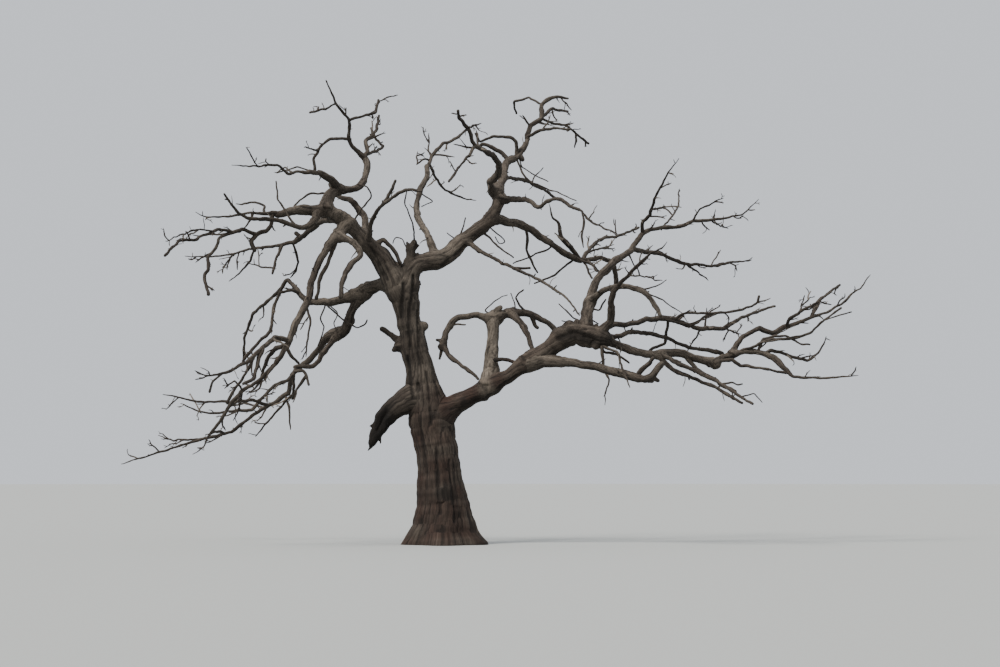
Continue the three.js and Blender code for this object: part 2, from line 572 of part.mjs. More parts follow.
        route: [[3.97, 5.93], [4.17, 6.07], [4.35, 6.3], [4.72, 6.64], [4.98, 6.75], [5.07, 6.88, -3.0]],
      },
      { girth: [0.035, 0.03], route: [[4.22, 6.1], [4.6, 6.06], [4.95, 5.98, -3.4]] },
    ],
  },
];

const MATERIALS = {
  trunk: { color: "#6a5d4f", roughness: 0.95 },
  bough: { color: "#6d6455", roughness: 0.95 },
  bare: { color: "#8b7d6d", roughness: 0.9 },
  broken: { color: "#453b31", roughness: 0.95 },
  twigs: { color: "#574d42", roughness: 0.95 },
};
const BARE_WOOD = ["arch_post", "arch_left", "centre_bough", "bare_arch"];
const BROKEN_WOOD = ["broken_low_limb", "fork_snag"];

// Numbers from 0 to 1 that repeat for the same seed
function seeded(seed) {
  let state = seed;
  return () => {
    state = (state + 0x6d2b79f5) | 0;
    let mixed = Math.imul(state ^ (state >>> 15), 1 | state);
    mixed = (mixed + Math.imul(mixed ^ (mixed >>> 7), 61 | mixed)) ^ mixed;
    return ((mixed ^ (mixed >>> 14)) >>> 0) / 4294967296;
  };
}

const between = ([low, high], share) => low + (high - low) * share;

// The place, in metres, that looks to be at across and up but lies that far away behind the trunk
function placed([across, up], away) {
  const scale = 1 + away / EYE.distance;
  return new THREE.Vector3(
    EYE.across + (across - EYE.across) * scale,
    away,
    EYE.up + (up - EYE.up) * scale,
  );
}

// Where a place looks to be, as [across, up]
function looks(point) {
  const scale = 1 + point.y / EYE.distance;
  return [EYE.across + (point.x - EYE.across) / scale, EYE.up + (point.z - EYE.up) / scale];
}

const apart = (a, b) => Math.hypot(a[0] - b[0], a[1] - b[1]);

// A girth at a share of the way from root to tip, from girths spaced evenly along a limb
function girthAt(limb, share) {
  const place = Math.min(share, 1) * (limb.girth.length - 1);
  const before = Math.min(Math.floor(place), limb.girth.length - 2);
  return between([limb.girth[before], limb.girth[before + 1]], place - before);
}

// The share of a limb's length whose point looks nearest to a place. It keeps one radius inside the tip.
function nearestShare(limb, place) {
  const last = 1 - girthAt(limb, 1) / 2 / limb.length;
  let best = 0;
  let least = Infinity;
  for (let step = 0; step <= NEAREST_STEPS; step += 1) {
    const share = (last * step) / NEAREST_STEPS;
    const gap = apart(looks(limb.curve.getPointAt(share)), place);
    if (gap < least) {
      least = gap;
      best = share;
    }
  }
  return { share: best, gap: least };
}

// A bough bends smoothly through its points, and a twig has a corner at each.
const smoothly = (points) => new THREE.CatmullRomCurve3(points, false, "centripetal");
const crookedly = (points) => new THREE.CatmullRomCurve3(points, false, "catmullrom", 0);

// A limb from a root along the rest of its route. Its depth changes evenly, with a seeded sway.
function limbAlong(root, route, girth, random, throughPoints) {
  const bends = route.slice(1);
  const seen = [looks(root), ...bends];
  const runs = bends.map((bend, index) => apart(seen[index], bend));
  const total = runs.reduce((sum, run) => sum + run, 0);
  const tipAway = bends.at(-1)[2];
  const points = [root];
  let covered = 0;
  bends.forEach((bend, index) => {
    covered += runs[index];
    const sway = index < bends.length - 1 ? (random() * 2 - 1) * SWAY * runs[index] : 0;
    points.push(placed(bend, root.y + ((tipAway - root.y) * covered) / total + sway));
  });
  const curve = throughPoints(points);
  return { curve, girth, length: curve.getLength(), sides: TWIG_SIDES, steps: bends.length };
}

// Small balls along a limb, which stand for it when a twig is tested for touching
function ballsAlong(limb, owner) {
  const count = Math.ceil(limb.length / BALL_SPACING);
  const balls = [];
  for (let step = 0; step <= count; step += 1) {
    const share = step / count;
    balls.push({ centre: limb.curve.getPointAt(share), radius: girthAt(limb, share) / 2, owner });
  }
  return balls;
}

function growTrunk() {
  const curve = smoothly(TRUNK_ROUTE.map((point) => placed(point, 0)));
  const length = curve.getLength();
  return { curve, girth: TRUNK_GIRTHS, length, flared: true, sides: TRUNK_SIDES, steps: TRUNK_RINGS };
}

function growBough(bough, limbs, random) {
  const parent = limbs.get(bough.on);
  const { share } = nearestShare(parent, bough.route[0]);
  const limb = limbAlong(parent.curve.getPointAt(share), bough.route, bough.girth, random, smoothly);
  limb.sunk = girthAt(parent, share) / 2;
  limb.sides = SIDES.find(({ over }) => bough.girth[0] > over).sides;
  limb.steps = Math.ceil(RINGS_PER_BEND * (bough.route.length - 1));
  return limb;
}

// The leading twigs of a mass. The first is sunk into its bough's tip, and is cut clear of it later.
function growLeads(mass, limbs) {
  const random = seeded(mass.seed);
  const bough = limbs.get(mass.on);
  const sunk = 1 - girthAt(bough, 1) / 2 / bough.length;
  const leads = [];
  mass.leads.forEach(({ girth, route }) => {
    if (leads.length === 0) {
      const root = bough.curve.getPointAt(sunk);
      leads.push(limbAlong(root, [[], ...route], girth, random, crookedly));
      return;
    }
    const found = leads.map((lead) => ({ lead, ...nearestShare(lead, route[0]) }));
    const { lead, share } = found.reduce((a, b) => (b.gap < a.gap ? b : a));
    leads.push(limbAlong(lead.curve.getPointAt(share), route, girth, random, crookedly));
  });
  return leads;
}

// A crooked side twig: it turns off its parent by a seeded angle and way round, and lifts a little.
function sideTwig(parent, share, random) {
  const along = parent.curve.getTangentAt(share);
  const side = new THREE.Vector3(along.y, -along.x, 0).normalize();
  const over = new THREE.Vector3().crossVectors(side, along);
  const round = random() * 2 * Math.PI;
  const turn = between(SIDE_TWIG.turn, random());
  const reach = between(SIDE_TWIG.length, random()) * (1 - share * SIDE_TWIG.shortened);
  const off = side.multiplyScalar(Math.cos(round)).addScaledVector(over, Math.sin(round));
  const heading = along.multiplyScalar(Math.cos(turn)).addScaledVector(off, Math.sin(turn));
  heading.z += SIDE_TWIG.lift;
  const points = [parent.curve.getPointAt(share)];
  for (let bend = 0; bend < SIDE_TWIG.bends; bend += 1) {
    heading.normalize();
    points.push(points.at(-1).clone().addScaledVector(heading, reach / SIDE_TWIG.bends));
    const crook = new THREE.Vector3(random() - 0.5, random() - 0.5, random() - 0.5);
    heading.addScaledVector(crook, 2 * SIDE_TWIG.crook);
  }
  const curve = crookedly(points);
  const girth = Math.max(girthAt(parent, share) * SIDE_TWIG.girth, TWIG_TIP);
  const length = curve.getLength();
  return { curve, girth: [girth, TWIG_TIP], length, sides: TWIG_SIDES, steps: SIDE_TWIG.bends };
}

const touches = (ball, other, gap) =>
  ball.centre.distanceTo(other.centre) < ball.radius + other.radius + gap;

// The side twigs of a mass, less those that leave its room or touch anything but their own mass
function growSideTwigs(mass, leads, balls) {
  const random = seeded(mass.seed * SIDE_TWIG_SEED);
  const room = new THREE.Box3();
  const reached = leads.flatMap(({ curve }) => curve.getSpacedPoints(ROOM_POINTS));
  reached.forEach((point) => room.expandByPoint(point));
  room.expandByVector(new THREE.Vector3(0, ROOM_DEPTH, 0));
  const others = balls.filter((ball) => ball.owner !== mass.name);
  const twigs = [];
  leads.forEach((lead) => {
    const count = Math.floor(lead.length / SIDE_TWIG.spacing);
    for (let place = 0; place < count; place += 1) {
      const share = (place + between(SIDE_TWIG.within, random())) / (count + SIDE_TWIG.spare);
      const twig = sideTwig(lead, share, random);
      const own = ballsAlong(twig, mass.name);
      const inside = own.every((ball) => room.containsPoint(ball.centre));
      const clear = own.every((ball) => !others.some((other) => touches(ball, other, PASSING_GAP)));
      if (inside && clear) {
        twigs.push(twig);
        balls.push(...own);
      }
    }
  });
  return twigs;
}

// How much wider than its girth a limb is: its collar at the root, and the trunk's root flare
function widening(limb, point, share, angle) {
  if (limb.flared) {
    const low = Math.exp(-Math.max(point.z, 0) / ROOT_FLARE.height);
    const root = Math.cos(ROOT_FLARE.roots * (angle + ROOT_FLARE.turn));
    return 1 + ROOT_FLARE.spread * low + ROOT_FLARE.lobes * Math.sqrt(low) * root;
  }
  if (limb.sunk === undefined) {
    return 1;
  }
  const past = Math.max(share * limb.length - limb.sunk, 0);
  return 1 + COLLAR.swell * Math.exp(-past / (COLLAR.length * girthAt(limb, share)));
}

function solidOf(geometry) {
  geometry.deleteAttribute("normal");
  geometry.deleteAttribute("uv");
  const merged = mergeVertices(geometry, MERGED_MILLIMETRES);
  const vertProperties = Float32Array.from(merged.getAttribute("position").array);
  const triVerts = Uint32Array.from(merged.getIndex().array);
  return new wasm.Manifold(new wasm.Mesh({ numProp: 3, vertProperties, triVerts }));
}

// The rings of a limb: each bend has one, with others evenly between. They are carried on without twist.
function ringsAlong({ curve, steps }) {
  const lengths = curve.getLengths(RING_PARTS * steps);
  const rings = [];
  let across = new THREE.Vector3(0, 1, 0);
  for (let step = 0; step <= steps; step += 1) {
    const along = curve.getTangent(step / steps);
    across = across.clone().addScaledVector(along, -across.dot(along)).normalize();
    const over = new THREE.Vector3().crossVectors(across, along);
    const share = lengths[RING_PARTS * step] / lengths[RING_PARTS * steps];
    rings.push({ centre: curve.getPoint(step / steps), along, across, over, share });
  }
  return rings;
}

// A closed limb: a round bar whose rings are moved along the limb's curve. A twig ends in a point. grow
// makes the limb wider and longer.
function limbSolid(limb, grow = 0) {
  const pointed = limb.sides === TWIG_SIDES;
  const bar = new THREE.CylinderGeometry(pointed ? 0 : 1, 1, 1, limb.sides, limb.steps);
  const rings = ringsAlong(limb);
  const places = bar.getAttribute("position");
  const corner = new THREE.Vector3();
  for (let index = 0; index < places.count; index += 1) {
    corner.fromBufferAttribute(places, index);
    const ring = rings[Math.round((corner.y + 0.5) * limb.steps)];
    const angle = Math.atan2(corner.z, corner.x);
    const wide = (girthAt(limb, ring.share) / 2) * (1 + ring.centre.y / EYE.distance);
    const radius = wide * widening(limb, ring.centre, ring.share, angle) + grow;
    const off = Math.hypot(corner.x, corner.z) > 0 ? radius : 0;
    const moved = ring.centre.clone().addScaledVector(ring.across, Math.cos(angle) * off);
    moved.addScaledVector(ring.over, Math.sin(angle) * off);
    if (ring.share === 0 || ring.share === 1) {
      moved.addScaledVector(ring.along, (2 * ring.share - 1) * grow);
    }
    moved.multiplyScalar(METRE);
    places.setXYZ(index, moved.x, moved.y, moved.z);
  }
  return solidOf(bar);
}

// The largest body of a solid, which drops what a cut leaves inside another limb
function largestBody(solid) {
  return solid.decompose().reduce((a, b) => (b.volume() > a.volume() ? b : a));
}

const boxesMeet = (a, b) =>
  [0, 1, 2].every((axis) => a.min[axis] <= b.max[axis] && b.min[axis] <= a.max[axis]);

// Cuts a solid clear of all that was built before it, and keeps its own grown form for those that follow
function seat(solid, grown, built) {
  const box = grown.boundingBox();
  const near = built.filter((other) => boxesMeet(box, other.boundingBox()));
  built.push(grown);
  return largestBody(near.reduce((rest, other) => rest.subtract(other), solid));
}

function meshOf(name, solid, look) {
  const { vertProperties, triVerts } = solid.getMesh();
  const geometry = new THREE.BufferGeometry();
  geometry.setAttribute("position", new THREE.BufferAttribute(vertProperties, 3));
  geometry.setIndex(new THREE.BufferAttribute(triVerts, 1));
  geometry.computeVertexNormals();
  const mesh = new THREE.Mesh(geometry, new THREE.MeshStandardMaterial({ ...look, metalness: 0 }));
  mesh.name = name;
  return mesh;
}

// The ground that the trunk is cut on
function groundSolid() {
  const slab = new THREE.BoxGeometry(GROUND_SIZE * METRE, GROUND_SIZE * METRE, METRE);
  slab.translate(0, 0, -METRE / 2);
  return solidOf(slab);
}

function lookOf(name) {
  if (BARE_WOOD.includes(name)) {
    return MATERIALS.bare;
  }
  return BROKEN_WOOD.includes(name) ? MATERIALS.broken : MATERIALS.bough;
}

const limbs = new Map([["trunk", growTrunk()]]);
const boughRandom = seeded(BOUGH_SEED);
BOUGHS.forEach((bough) => limbs.set(bough.name, growBough(bough, limbs, boughRandom)));
const leads = new Map(MASSES.map((mass) => [mass.name, growLeads(mass, limbs)]));
const balls = [...limbs].flatMap(([name, limb]) => ballsAlong(limb, name));
leads.forEach((twigs, name) => twigs.forEach((twig) => balls.push(...ballsAlong(twig, name))));
const sideTwigs = new Map();
MASSES.forEach((mass) => sideTwigs.set(mass.name, growSideTwigs(mass, leads.get(mass.name), balls)));

const tree = new THREE.Group();
const built = [];
const trunk = limbs.get("trunk");
tree.add(meshOf("trunk", limbSolid(trunk).subtract(groundSolid()), MATERIALS.trunk));
built.push(limbSolid(trunk, CLEARANCE));
BOUGHS.forEach(({ name }) => {
  const limb = limbs.get(name);
  tree.add(meshOf(name, seat(limbSolid(limb), limbSolid(limb, CLEARANCE), built), lookOf(name)));
});
MASSES.forEach(({ name }) => {
  const twigs = [...leads.get(name), ...sideTwigs.get(name)];
  const whole = wasm.Manifold.union(twigs.map((twig) => limbSolid(twig)));
  const grown = wasm.Manifold.union(twigs.map((twig) => limbSolid(twig, CLEARANCE)));
  tree.add(meshOf(name, seat(whole, grown, built), MATERIALS.twigs));
});

export default tree;
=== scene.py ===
# A dead, bare, wide-spreading tree: its bark, broken ends and twigs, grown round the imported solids.
# Metres, +Z up, with the origin on the flat cut under the trunk.
import json
import math

import bmesh
import bpy
import numpy as np
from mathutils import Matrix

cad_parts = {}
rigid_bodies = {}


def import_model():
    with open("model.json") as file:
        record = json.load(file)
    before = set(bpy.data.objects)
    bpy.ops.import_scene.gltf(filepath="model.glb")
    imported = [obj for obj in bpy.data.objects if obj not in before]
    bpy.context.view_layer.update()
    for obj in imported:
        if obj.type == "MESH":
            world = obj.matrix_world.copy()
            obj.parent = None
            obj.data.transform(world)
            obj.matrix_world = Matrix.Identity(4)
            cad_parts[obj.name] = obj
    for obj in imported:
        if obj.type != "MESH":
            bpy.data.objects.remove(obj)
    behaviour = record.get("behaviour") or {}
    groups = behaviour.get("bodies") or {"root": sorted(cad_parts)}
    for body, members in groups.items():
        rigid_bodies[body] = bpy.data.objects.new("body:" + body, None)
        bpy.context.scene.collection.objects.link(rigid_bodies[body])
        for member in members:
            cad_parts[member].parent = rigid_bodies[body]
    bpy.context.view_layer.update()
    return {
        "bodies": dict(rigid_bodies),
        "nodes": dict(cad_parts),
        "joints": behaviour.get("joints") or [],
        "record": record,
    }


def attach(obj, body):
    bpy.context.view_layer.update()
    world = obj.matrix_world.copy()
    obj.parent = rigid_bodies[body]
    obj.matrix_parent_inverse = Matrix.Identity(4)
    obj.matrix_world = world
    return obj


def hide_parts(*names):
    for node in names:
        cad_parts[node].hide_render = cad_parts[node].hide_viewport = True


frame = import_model()

# The tree's driving dimensions, in metres, as its solids have them
EYE = {"across": 1.25, "up": 1.6, "distance": 45.0}
TRUNK_GIRTHS = [1.28, 1.17, 1.09, 1.03, 0.97, 0.86, 0.69, 0.61, 0.55, 0.52, 0.44]
TRUNK_ROUTE = [(0.02, -0.3), (-0.1, 1.5), (-0.32, 2.8), (-0.58, 4.0), (-0.81, 5.0), (-1.02, 6.1)]
ROOT_FLARE = {"roots": 5, "spread": 0.42, "height": 0.42, "lobes": 0.16, "turn": 0.6}
COLLAR = {"swell": 0.3, "length": 0.8}
SWAY = 0.12
SIDE_TWIG = {"spacing": 0.66, "turn": (0.5, 1.15), "length": (0.28, 0.62), "lift": 0.12, "crook": 0.5,
             "bends": 2, "girth": 0.6, "tip": 0.03}
SIDE_PLACES = {"start": 0.6, "scatter": 0.4, "spare": 0.2, "last": 1.0}
ROOM_DEPTH = 0.5
PASSING_GAP = 0.06

# Limbs: name, the limb that each springs from, girths from root to tip, and a route as seen from the eye.
# The last point of a route adds how far behind the trunk the limb ends.
BOUGHS = [
    ("broken_low_limb", "trunk", [0.36, 0.4, 0.36, 0.16],
     [(-0.6, 3.38), (-1.0, 3.2), (-1.34, 2.88), (-1.64, 2.3, -0.3)]),
    ("left_leader", "trunk", [0.42, 0.38, 0.35, 0.28, 0.2, 0.14],
     [(-0.98, 5.55), (-1.43, 6.42), (-1.88, 6.92), (-2.34, 7.4), (-2.75, 7.57), (-3.4, 7.6),
      (-3.85, 7.5, -1.0)]),
    ("right_leader", "trunk", [0.4, 0.35, 0.34, 0.32, 0.28, 0.25, 0.22],
     [(-1.0, 5.75), (-0.68, 6.35), (-0.1, 6.48), (0.42, 6.9), (1.05, 7.45), (1.22, 7.8), (1.14, 8.1, 0.3)]),
    ("low_left_bough", "trunk", [0.27, 0.26, 0.2, 0.14],
     [(-1.0, 5.8), (-1.55, 5.88), (-2.2, 5.6), (-2.65, 5.5), (-3.15, 5.5, 0.8)]),
    ("fork_snag", "trunk", [0.26, 0.18, 0.13], [(-0.92, 5.95), (-0.82, 6.5), (-0.72, 6.87, -0.1)]),
    ("fork_arch", "left_leader", [0.1, 0.08, 0.07],
     [(-1.6, 6.82), (-1.43, 6.9), (-1.2, 6.7), (-1.0, 6.4, -0.2)]),
    ("left_riser", "left_leader", [0.25, 0.2, 0.15, 0.13, 0.12],
     [(-2.72, 7.6), (-2.68, 7.93), (-2.36, 8.08), (-2.0, 8.14), (-1.8, 8.55), (-1.85, 8.87, 0.7)]),
    ("left_riser_arm", "left_riser", [0.16, 0.12, 0.08],
     [(-2.42, 8.1), (-2.62, 8.3), (-2.87, 8.44), (-3.3, 8.5, -1.2)]),
    ("crossing_bough", "left_leader", [0.15, 0.12, 0.05],
     [(-1.8, 7.0), (-1.85, 7.4), (-2.15, 7.8), (-2.5, 7.97), (-2.65, 8.2, 0.7)]),
    ("centre_left_bough", "left_leader", [0.11, 0.08, 0.07, 0.05],
     [(-1.75, 6.85), (-1.64, 7.45), (-1.25, 7.87), (-0.85, 8.07), (-0.55, 8.03, -2.4)]),
    ("left_under_bough", "left_leader", [0.13, 0.1, 0.07, 0.04],
     [(-2.9, 7.55), (-3.14, 7.24), (-3.6, 7.28), (-3.9, 7.4), (-4.6, 7.45), (-4.9, 7.75),
      (-5.05, 7.98, -2.7)]),
    ("left_third_bough", "left_leader", [0.16, 0.12, 0.1],
     [(-2.45, 7.45), (-2.8, 7.36), (-3.13, 7.12), (-3.45, 6.87, 0.9)]),
    ("drooping_bough", "left_leader", [0.2, 0.17, 0.15, 0.14, 0.13],
     [(-2.2, 7.35), (-2.47, 7.03), (-2.8, 6.58), (-3.03, 6.05), (-3.12, 5.55), (-3.4, 5.03),
      (-3.57, 4.6, -1.8)]),
    ("knee_bough", "drooping_bough", [0.15, 0.14, 0.12, 0.1, 0.09],
     [(-2.42, 7.02), (-2.08, 6.82), (-1.95, 6.56), (-2.15, 6.37), (-2.33, 6.0), (-2.38, 5.62, -1.8)]),
    ("lower_left_bough", "low_left_bough", [0.21, 0.2, 0.18, 0.13, 0.1, 0.08],
     [(-1.8, 5.75), (-2.12, 5.3), (-2.3, 4.84), (-2.66, 4.72), (-2.97, 4.28), (-3.46, 3.85),
      (-3.54, 3.4, 2.0)]),
    ("lower_left_fork", "lower_left_bough", [0.12, 0.1, 0.08],
     [(-2.4, 4.78), (-2.75, 4.35), (-2.95, 4.08), (-3.4, 4.0, 0.5)]),
    ("centre_bough", "right_leader", [0.16, 0.13, 0.11, 0.1],
     [(-0.2, 6.48), (-0.4, 7.0), (-0.65, 7.5), (-0.58, 8.05), (-0.44, 8.35), (-0.42, 8.6, 1.8)]),
    ("inner_top_bough", "right_leader", [0.15, 0.14, 0.12, 0.11],
     [(1.15, 8.0), (1.0, 8.22), (1.2, 8.46), (1.2, 8.72), (1.0, 8.94, -1.2)]),
    ("outer_top_bough", "right_leader", [0.17, 0.14, 0.12, 0.1],
     [(1.16, 7.98), (1.3, 8.3), (1.41, 8.69), (1.66, 8.85), (1.9, 9.25, 1.5)]),
    ("side_top_bough", "outer_top_bough", [0.08, 0.07, 0.05],
     [(1.3, 8.35), (1.6, 8.33), (2.0, 8.22), (2.5, 7.9, 3.0)]),
    ("middle_bough", "right_leader", [0.17, 0.1, 0.08, 0.07, 0.06],
     [(1.2, 7.9), (1.6, 7.86), (1.95, 7.82), (2.12, 7.68), (2.36, 7.82), (2.64, 7.85), (2.88, 7.68),
      (3.05, 7.62, -2.2)]),
    ("upper_right_bough", "right_leader", [0.19, 0.15, 0.13, 0.12],
     [(1.05, 7.42), (1.8, 7.24), (2.36, 6.87), (2.7, 6.63), (3.1, 6.45, 1.7)]),
    ("under_right_bough", "right_leader", [0.1, 0.07, 0.06, 0.05, 0.03],
     [(0.5, 6.85), (0.9, 6.6), (1.5, 6.3), (2.15, 6.0), (2.75, 5.6), (3.05, 5.2, -3.2)]),
    ("low_right_bough", "trunk", [0.54, 0.43, 0.38, 0.35, 0.32, 0.46, 0.36],
     [(-0.25, 2.85), (0.4, 3.25), (1.0, 3.55), (2.0, 4.2), (2.9, 4.76), (3.3, 4.74), (3.58, 4.68, -0.9)]),
    ("arch_post", "low_right_bough", [0.28, 0.26, 0.23],
     [(0.96, 3.5), (1.04, 4.0), (1.1, 4.8), (1.12, 5.2, 0.4)]),
    ("arch_left", "arch_post", [0.15, 0.14, 0.12],
     [(1.08, 5.1), (0.6, 5.2), (0.15, 5.03), (-0.08, 4.45, 0.2)]),
    ("arch_tail", "arch_left", [0.1, 0.08, 0.06],
     [(-0.08, 4.48), (0.1, 4.25), (0.4, 4.05), (0.75, 3.73, -0.7)]),
    ("arch_right", "arch_post", [0.16, 0.13, 0.1],
     [(1.1, 5.1), (1.5, 5.27), (1.95, 5.2), (2.4, 4.97), (2.55, 4.76, 0.8)]),
    ("arch_inner", "arch_right", [0.14, 0.12, 0.09],
     [(1.5, 5.27), (1.8, 4.9), (1.93, 4.6), (1.97, 4.42, -0.3)]),
    ("under_bough", "low_right_bough", [0.24, 0.2, 0.18, 0.17, 0.12],
     [(1.9, 4.12), (2.5, 4.14), (3.2, 4.05), (4.0, 3.89), (4.64, 3.76), (4.93, 4.06, -2.0)]),
    ("long_right_bough", "low_right_bough", [0.2, 0.17, 0.15, 0.15, 0.17],
     [(3.5, 4.66), (4.1, 4.45), (4.7, 4.29), (5.02, 4.33), (5.3, 4.33), (5.75, 4.2), (6.17, 4.07, -0.5)]),
    ("far_right_bough", "long_right_bough", [0.12, 0.1, 0.1, 0.11],
     [(6.1, 4.1), (6.45, 4.27), (7.0, 4.37), (7.3, 4.31, -0.3)]),
    ("furthest_right_bough", "far_right_bough", [0.12, 0.1, 0.09],
     [(6.5, 4.3), (6.7, 4.62), (7.1, 4.88), (7.45, 4.81), (7.75, 4.93, 0.4)]),
    ("trailing_right_bough", "long_right_bough", [0.1, 0.08, 0.05],
     [(4.95, 4.15), (5.5, 4.0), (6.1, 3.72), (6.7, 3.36), (7.0, 3.16, -2.7)]),
    ("lower_trailing_bough", "long_right_bough", [0.09, 0.08, 0.06],
     [(4.85, 4.2), (5.2, 3.93), (5.6, 3.77), (6.1, 3.56), (6.75, 3.2, -1.6)]),
    ("rising_bough", "low_right_bough", [0.22, 0.19, 0.17, 0.13],
     [(3.12, 4.8), (3.25, 5.3), (3.46, 6.0), (3.85, 6.4), (4.25, 6.7, 0.4)]),
    ("bare_arch", "rising_bough", [0.12, 0.11, 0.11, 0.1, 0.08],
     [(3.28, 5.45), (3.6, 5.75), (3.98, 5.86), (4.3, 5.83), (4.6, 5.67), (4.78, 5.45), (4.9, 5.2, -2.0)]),
    ("second_rising_bough", "low_right_bough", [0.17, 0.13, 0.12],
     [(3.5, 4.85), (3.75, 5.05), (3.8, 5.6), (3.9, 5.88, -1.5)]),
    ("slender_bough", "low_right_bough", [0.11, 0.09, 0.07, 0.08],
     [(3.5, 4.66), (3.9, 4.71), (4.2, 4.81), (4.95, 4.7), (5.55, 4.46), (5.95, 4.42), (6.3, 4.32, 1.4)]),
    ("middle_right_bough", "low_right_bough", [0.17, 0.12, 0.11, 0.11],
     [(3.4, 4.75), (3.75, 4.96), (4.3, 5.0), (4.6, 5.1), (4.95, 5.13, 0.3)]),
]

